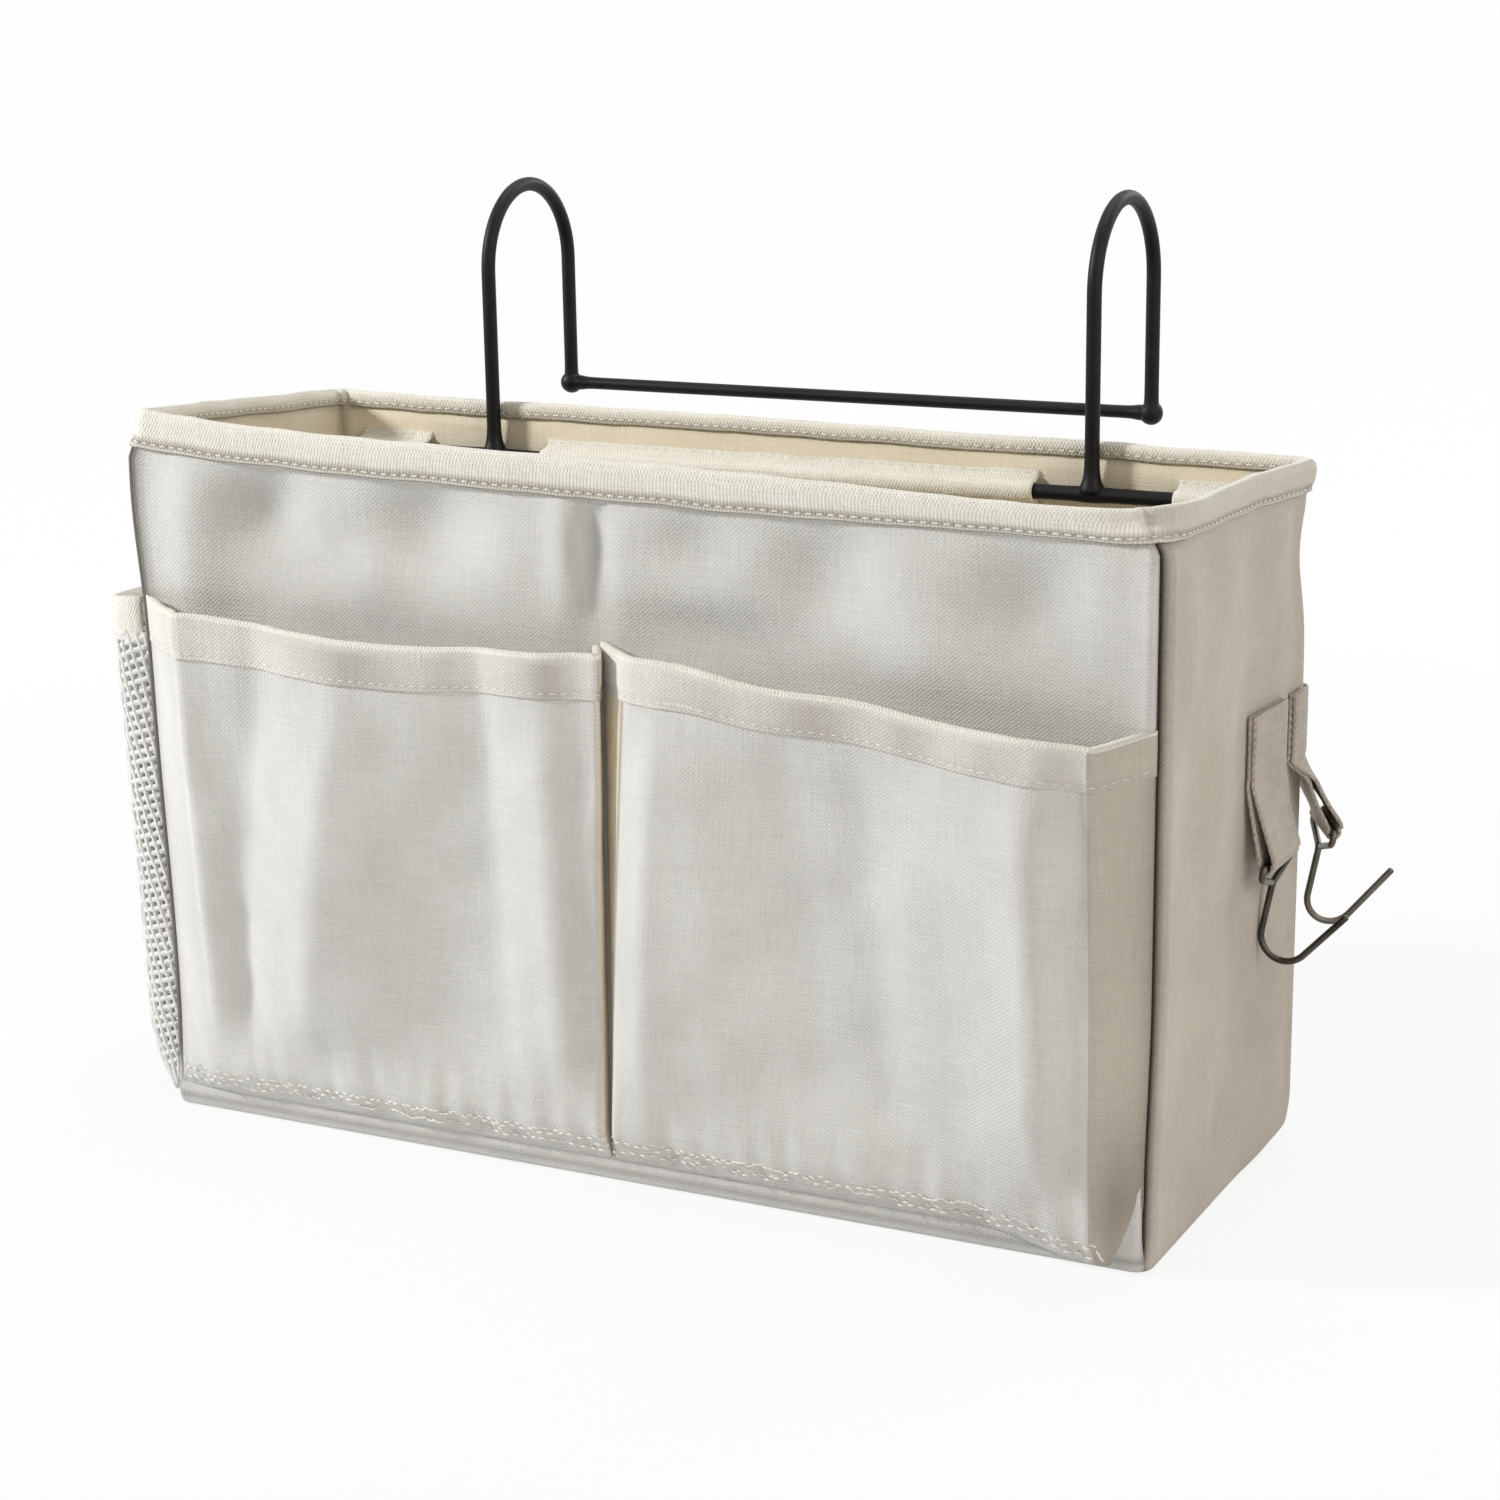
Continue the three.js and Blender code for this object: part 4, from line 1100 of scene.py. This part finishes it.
crossbar = tube("black_crossbar", barPath, barRadius, blackPaint, steel["sides"], roundEnds=False)
settle(crossbar, "rail_frame", "black_steel", "crossbar")
print("black frame made")

# Webbing straps and their wire hooks on the right side
strap = {"width": 25, "web": 1.15, "top": cornersOf("front_strap_tab")[1][2], "edge": 0.45,
         "turn": {"front": 0, "rear": 28}, "ease": 5, "bendRound": 7.5, "stitchInset": 3,
         "stitchLow": 4, "stitchTop": 2.5, "stitchStand": 0.12}
wireHook = {"wire": 2.0, "side": 3.5, "apex": 8, "stem": 15, "bend": 7.3, "tip": 18, "tipAngle": 58,
            "lean": 11, "corner": 1.6}
strapLines = []


def roundCorner(v, reach, flex, outward, across, turn):
    # where a spot v across the strap lies once its tab is bent round the bag's rear corner
    radius = strap["bendRound"]
    swing = np.asarray(v, float) / radius
    wrapped = np.clip(swing, -turn, math.pi / 2 - turn)
    rest = (swing - wrapped) * radius
    cosine, sine = np.cos(wrapped)[..., None], np.sin(wrapped)[..., None]
    direction = cosine * outward + sine * across
    onward = cosine * across - sine * outward
    return flex - outward * radius + direction * (radius + reach) + onward * rest[..., None]


for name in ("front", "rear"):
    flex = np.array(joints[f"{name}_strap_swing"]["pos_m"]) / metre
    bar = np.array(joints[f"{name}_hook_swing"]["pos_m"]) / metre
    turn = math.radians(strap["turn"][name])
    outward = np.array([math.cos(turn), math.sin(turn), 0])
    across = np.array([-math.sin(turn), math.cos(turn), 0])
    barOut = np.dot(bar - flex, outward)
    half = strap["web"] / 2 + 0.06
    wrap = wireHook["wire"] / 2 + 0.35 + strap["web"] / 2
    lean = math.atan2(barOut, flex[2] - bar[2])
    run = [(half, strap["top"]), (half, strap["top"] - 9), (half, flex[2] + 3), (half + 0.5, flex[2] - 1)]
    run.append((barOut + wrap * math.cos(lean), bar[2] + wrap * math.sin(lean) + 2.5))
    for angle in np.linspace(0, 180, 9):
        a = -math.radians(angle) + lean
        run.append((barOut + wrap * math.cos(a), bar[2] + wrap * math.sin(a)))
    run += [(barOut - wrap * math.cos(lean) - 0.4, bar[2] - wrap * math.sin(lean) + 3.5),
            (-half - 0.1, flex[2] - 0.5), (-half, flex[2] + 3), (-half, strap["top"] - 9),
            (-half, strap["top"])]
    run = spline(run, 110)
    ahead = unit(np.gradient(run, axis=0))
    normal = np.stack([-ahead[:, 1], ahead[:, 0]], -1)
    halfWide, halfWeb, edge = strap["width"] / 2, strap["web"] / 2, strap["edge"]
    section = [(s * (halfWide - inset), t * halfWeb * grow) for s, t, inset, grow in
               [(1, -1, edge, 1), (1, -1, 0.1, 0.5), (1, 1, 0.1, 0.5), (1, 1, edge, 1)]]
    spread = [(v, halfWeb) for v in np.linspace(halfWide - edge, edge - halfWide, 16)[1:-1]]
    section = section + spread + [(-v, -t) for v, t in section] + [(-v, -t) for v, t in spread]
    rings = []
    for (out, z), (nx, nz) in zip(run, normal):
        wavy = 0.12 * math.sin(z * 1.9)
        ring = []
        for v, t in section:
            spot = flex + outward * (out + t * nx) + across * (v + wavy * np.sign(v))
            if name == "rear" and z > flex[2] - strap["ease"]:  # the tab lies round the corner of the bag
                bow = smooth(flex[2] - strap["ease"], flex[2] + 2, z)
                bent = roundCorner(v, out + t * nx, flex, outward, across, turn)
                spot = (1 - bow) * spot + bow * bent
            stand = rearSwell(spot[1], z) * smooth(flex[2] - 14, flex[2] + 2, z)
            ring.append((spot[0] + stand, spot[1], z + t * nz))
        rings.append(ring)
    made = loft(f"{name}_strap_webbing", rings, strapWeb)
    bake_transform(made)
    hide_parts(f"{name}_strap_tab", f"{name}_strap_loop")
    print(name, "strap made")

    halfBar = strap["width"] / 2 + 0.3 + wireHook["wire"] / 2
    first = 1.3 * wireHook["wire"]
    slope = (wireHook["apex"] - wireHook["side"]) / halfBar
    bendZ = -wireHook["apex"] - wireHook["stem"]
    eye = [(0, -first, -wireHook["apex"] + first * slope), (0, -halfBar, -wireHook["side"]), (0, -halfBar, 0),
           (0, halfBar, 0), (0, halfBar, -wireHook["side"]), (0, 0, -wireHook["apex"]), (0, 0, bendZ)]
    path = list(bendCorners(eye, wireHook["corner"]))
    for angle in np.radians(np.linspace(0, 90 + wireHook["tipAngle"], 26))[1:]:
        path.append((wireHook["bend"] * (1 - math.cos(angle)), 0, bendZ - wireHook["bend"] * math.sin(angle)))
    rise = math.radians(wireHook["tipAngle"])
    path.append(np.array(path[-1]) + wireHook["tip"] * np.array([math.cos(rise), 0, math.sin(rise)]))
    path = evenly(np.array(path, float), 190)
    tilt = math.radians(wireHook["lean"])
    leaned = np.stack([path[:, 0] * math.cos(tilt) + path[:, 2] * math.sin(tilt), path[:, 1],
                       path[:, 2] * math.cos(tilt) - path[:, 0] * math.sin(tilt)], -1)
    placed = bar + leaned[:, :1] * outward + leaned[:, 1:2] * across + leaned[:, 2:] * np.array([0, 0, 1])
    hook = tube(f"{name}_wire_hook", placed, wireHook["wire"] / 2, nickelWire)
    settle(hook, f"{name}_hook", "dark_nickel", f"{name}_strap_hook")
    reach = strap["web"] + strap["stitchStand"]
    boxLow, boxHigh = flex[2] + strap["stitchLow"], strap["top"] - strap["stitchTop"]
    wide = strap["width"] / 2 - strap["stitchInset"]
    if name == "front":  # a box with a cross in it, and rows round the corner on the rear tab
        box = [(-wide, boxLow), (wide, boxLow), (wide, boxHigh), (-wide, boxHigh), (-wide, boxLow),
               (wide, boxHigh)]
        cornersOn = [flex + outward * reach + across * v + (0, 0, z - flex[2]) for v, z in box]
        strapLines.append(np.array(cornersOn))
        strapLines.append(np.array([cornersOn[3], cornersOn[1]]))
    else:
        for z in (boxLow, 0.5 * (boxLow + boxHigh), boxHigh):
            spots = roundCorner(np.linspace(-wide, wide, 40), reach, flex, outward, across, turn)
            spots[:, 2] = z
            strapLines.append(spots)
print("wire hooks made")

# Stitching, one piece for each kind of seam
stitchSize = {"rim": (3.4, 2.5, 0.6, 0.4), "hem": (3.3, 2.2, 0.4, 0.25), "pocket": (2.9, 2.4, 0.75, 0.5),
              "strap": (2.2, 1.6, 0.5, 0.3)}


def outwardFrom(line, centre):
    return unit((line - np.asarray(centre, float)) * (1, 1, 0))


def sew(name, lines, facings, size, thread, slot):
    spacing, length, width, rise = [value * metre for value in stitchSize[size]]
    made = grow(edgeObject(f"{name}_lines", lines, facings), stitches, name,
                {"Spacing": spacing, "Length": length, "Width": width, "Rise": rise, "Thread": thread})
    return settle(made, "bag", slot)


def closedLine(line):
    return np.concatenate([line, line[:1]])


outerRow = closedLine(rimRow(rim["stand"] - 0.2, rim["outer"] - 1.7))
innerRow = closedLine(rimRow(back - rim["thick"] + 0.1, rim["inner"] - 1.6, rim["innerBack"] - 1.5))
rimLines = [outerRow, innerRow]
rimFacings = [rowFacing(outerRow), -rowFacing(innerRow)]
bindLine = bindRow(1.1, net["bind"] - 1.7)
rimLines.append(bindLine)
rimFacings.append(rowFacing(bindLine))
for name in casing["nodes"]:
    low, high = cornersOf(name)
    for z in (rodAxis[2] - casing["below"] + 0.9, rodAxis[2] + casing["above"] - 0.8):
        xs = np.linspace(low[0] + 1, high[0] - 1, 30)
        rimLines.append(levelLine(xs, casing["sewnY"] - 0.05, z))
        rimFacings.append(levelLine(0 * xs, -1.0, 0.0))
sew("binding_stitches", rimLines, rimFacings, "rim", seamThread, "binding_tape")
tall = pocket["top"] - pocket["bottom"]
hemRow = 1 - (pocket["hem"] - 1.6) / tall
for name, share, out in (("pocket", 0.028, 0.2), ("hem", hemRow, pocket["hemThick"] - 0.15)):
    lines = []
    for side in (-1, 1):
        line = warp(pocketRow(side, share, out))
        line = line[3:] if side < 0 else line[:-(pocket["gusset"] if name == "pocket" else 3)]
        if name == "hem":
            lines.append(line)
            continue
        for lift in (0.0, 3.2):  # two crowded rows of loose loops
            row = warp(pocketRow(side, share + lift / tall, out))[3:-pocket["gusset"]]
            loops = evenly(row, int(runs(line)[-1] / 1.7))
            loops[:, 2] += 1.2 * (-1.0) ** np.arange(len(loops)) + 1.7 * grain(loops, 5, 91 + int(lift))
            lines.append(loops)
    sew(f"{name}_stitches", lines, [rowFacing(line) for line in lines], name, seamThread, "canvas")
strapFacings = [outwardFrom(line, (150, 27 if line[:, 1].mean() < 45 else 54, 0)) for line in strapLines]
sew("strap_stitches", strapLines, strapFacings, "strap", strapThread, "webbing")
print("stitches sewn")

# Floor, light and camera
studio = {
    "floor": (240, 240, 240), "floorDim": (238, 238, 238), "floorSize": 60, "world": 0.17,
    "shownWhite": (0.86, 0.985), "shadowReach": (0.3, 0.75),  # whiter away from the bag's shadow
    "aim": (0, 0, 0.1),
    "lamps": {  # place, size, power and colour
        "keyLamp": ((-1.5, -0.82, 1.05), 0.3, 29, (1, 0.995, 0.99)),
        "fillLamp": ((1.6, -0.6, 0.9), 1.4, 11, (1, 0.93, 0.84)),
        "topLamp": ((0.1, 0.5, 2.0), 1.4, 12, (1, 1, 1)),
        "backLamp": ((0.7, 1.7, 1.0), 1.0, 9, (1, 1, 1)),
    },
}


def seenByEye(tree):
    # 1 for what the camera sees, straight or by way of metal and glass
    rays = tree.nodes.new("ShaderNodeLightPath")
    seen = rays.outputs["Is Camera Ray"]
    for ray in ("Is Glossy Ray", "Is Transmission Ray"):
        larger = tree.nodes.new("ShaderNodeMath")
        larger.operation = "MAXIMUM"
        chain(tree, (seen, larger.inputs[0]), (rays.outputs[ray], larger.inputs[1]))
        seen = larger.outputs[0]
    return seen


def showInstead(tree, seen, real, shown, output):
    # the shown shader where seen is 1, and the real one for all other light
    mixed = tree.nodes.new("ShaderNodeMixShader")
    chain(tree, (seen, mixed.inputs[0]), (real.outputs[0], mixed.inputs[1]),
          (shown.outputs[0], mixed.inputs[2]), (mixed.outputs[0], tree.nodes[output].inputs["Surface"]))


ground = Nodes("paleFloor")
place = ground.coords.outputs["Object"]
cloudy = ground.span(ground.clouds(place, 0.6, 2), 0.3, 0.7)
ground.join(ground.blendTones(cloudy, tone(*studio["floor"]), tone(*studio["floorDim"])),
            ground.shader.inputs["Base Color"])
ground.shader.inputs["Roughness"].default_value = 0.9
ground.shader.inputs["Specular IOR Level"].default_value = 0.1
glow = ground.tree.nodes.new("ShaderNodeEmission")  # a white ground to the eye, with the shadow kept
glow.inputs["Strength"].default_value = 1
fromBag = ground.tree.nodes.new("ShaderNodeVectorMath")
fromBag.operation = "LENGTH"
ground.join(place, fromBag.inputs[0])
white = ground.span(fromBag.outputs["Value"], *studio["shadowReach"], *studio["shownWhite"])
showInstead(ground.tree, ground.maths("MULTIPLY", seenByEye(ground.tree), white), ground.shader, glow,
            "Material Output")
floorMesh = bpy.data.meshes.new("floor")
half = studio["floorSize"] / 2
floorMesh.from_pydata([(-half, -half, 0), (half, -half, 0), (half, half, 0), (-half, half, 0)], [],
                      [(0, 1, 2, 3)])
floorMesh.materials.append(ground.material)
floor = linked("floor", floorMesh)

world = bpy.data.worlds.new("studio")
world.use_nodes = True
scene.world = world
light = world.node_tree.nodes["Background"]
shown = world.node_tree.nodes.new("ShaderNodeBackground")
for backdrop, strength in ((light, studio["world"]), (shown, 1)):
    backdrop.inputs["Color"].default_value = (1, 1, 1, 1)
    backdrop.inputs["Strength"].default_value = strength
showInstead(world.node_tree, seenByEye(world.node_tree), light, shown, "World Output")

for name, (place, size, power, colour) in studio["lamps"].items():
    data = bpy.data.lights.new(name, "AREA")
    data.shape = "DISK"
    data.size = size
    data.energy = power
    data.color = colour
    lamp = linked(name, data)
    lamp.location = place
    lamp.rotation_euler = (Vector(studio["aim"]) - Vector(place)).to_track_quat("-Z", "Y").to_euler()

view = {"yaw": 27.363, "pitch": 15.626, "roll": -1.103, "focal": 3173.05, "distance": 968.49,
        "aim": (0, 0, 100), "frame": 1500, "offset": (-43.53, 60.38), "sensor": 36, "clip": 200}
yaw, pitch, roll = [math.radians(view[key]) for key in ("yaw", "pitch", "roll")]
away = np.array([math.sin(yaw) * math.cos(pitch), -math.cos(yaw) * math.cos(pitch), math.sin(pitch)])
level = np.array([math.cos(yaw), math.sin(yaw), 0])
upright = np.cross(away, level)
right = math.cos(roll) * level + math.sin(roll) * upright
up = math.cos(roll) * upright - math.sin(roll) * level
cameraData = bpy.data.cameras.new("camera")
cameraData.sensor_width = view["sensor"]
cameraData.lens = view["focal"] / view["frame"] * view["sensor"]
cameraData.shift_x = -view["offset"][0] / view["frame"]
cameraData.shift_y = view["offset"][1] / view["frame"]
cameraData.clip_end = view["clip"]
camera = linked("camera", cameraData)
spot = (np.array(view["aim"]) + away * view["distance"]) * metre
turned = np.stack([right, up, away], 1)
camera.matrix_world = Matrix([[*row, place] for row, place in zip(turned, spot)] + [[0, 0, 0, 1]])
scene.camera = camera
print("studio set")
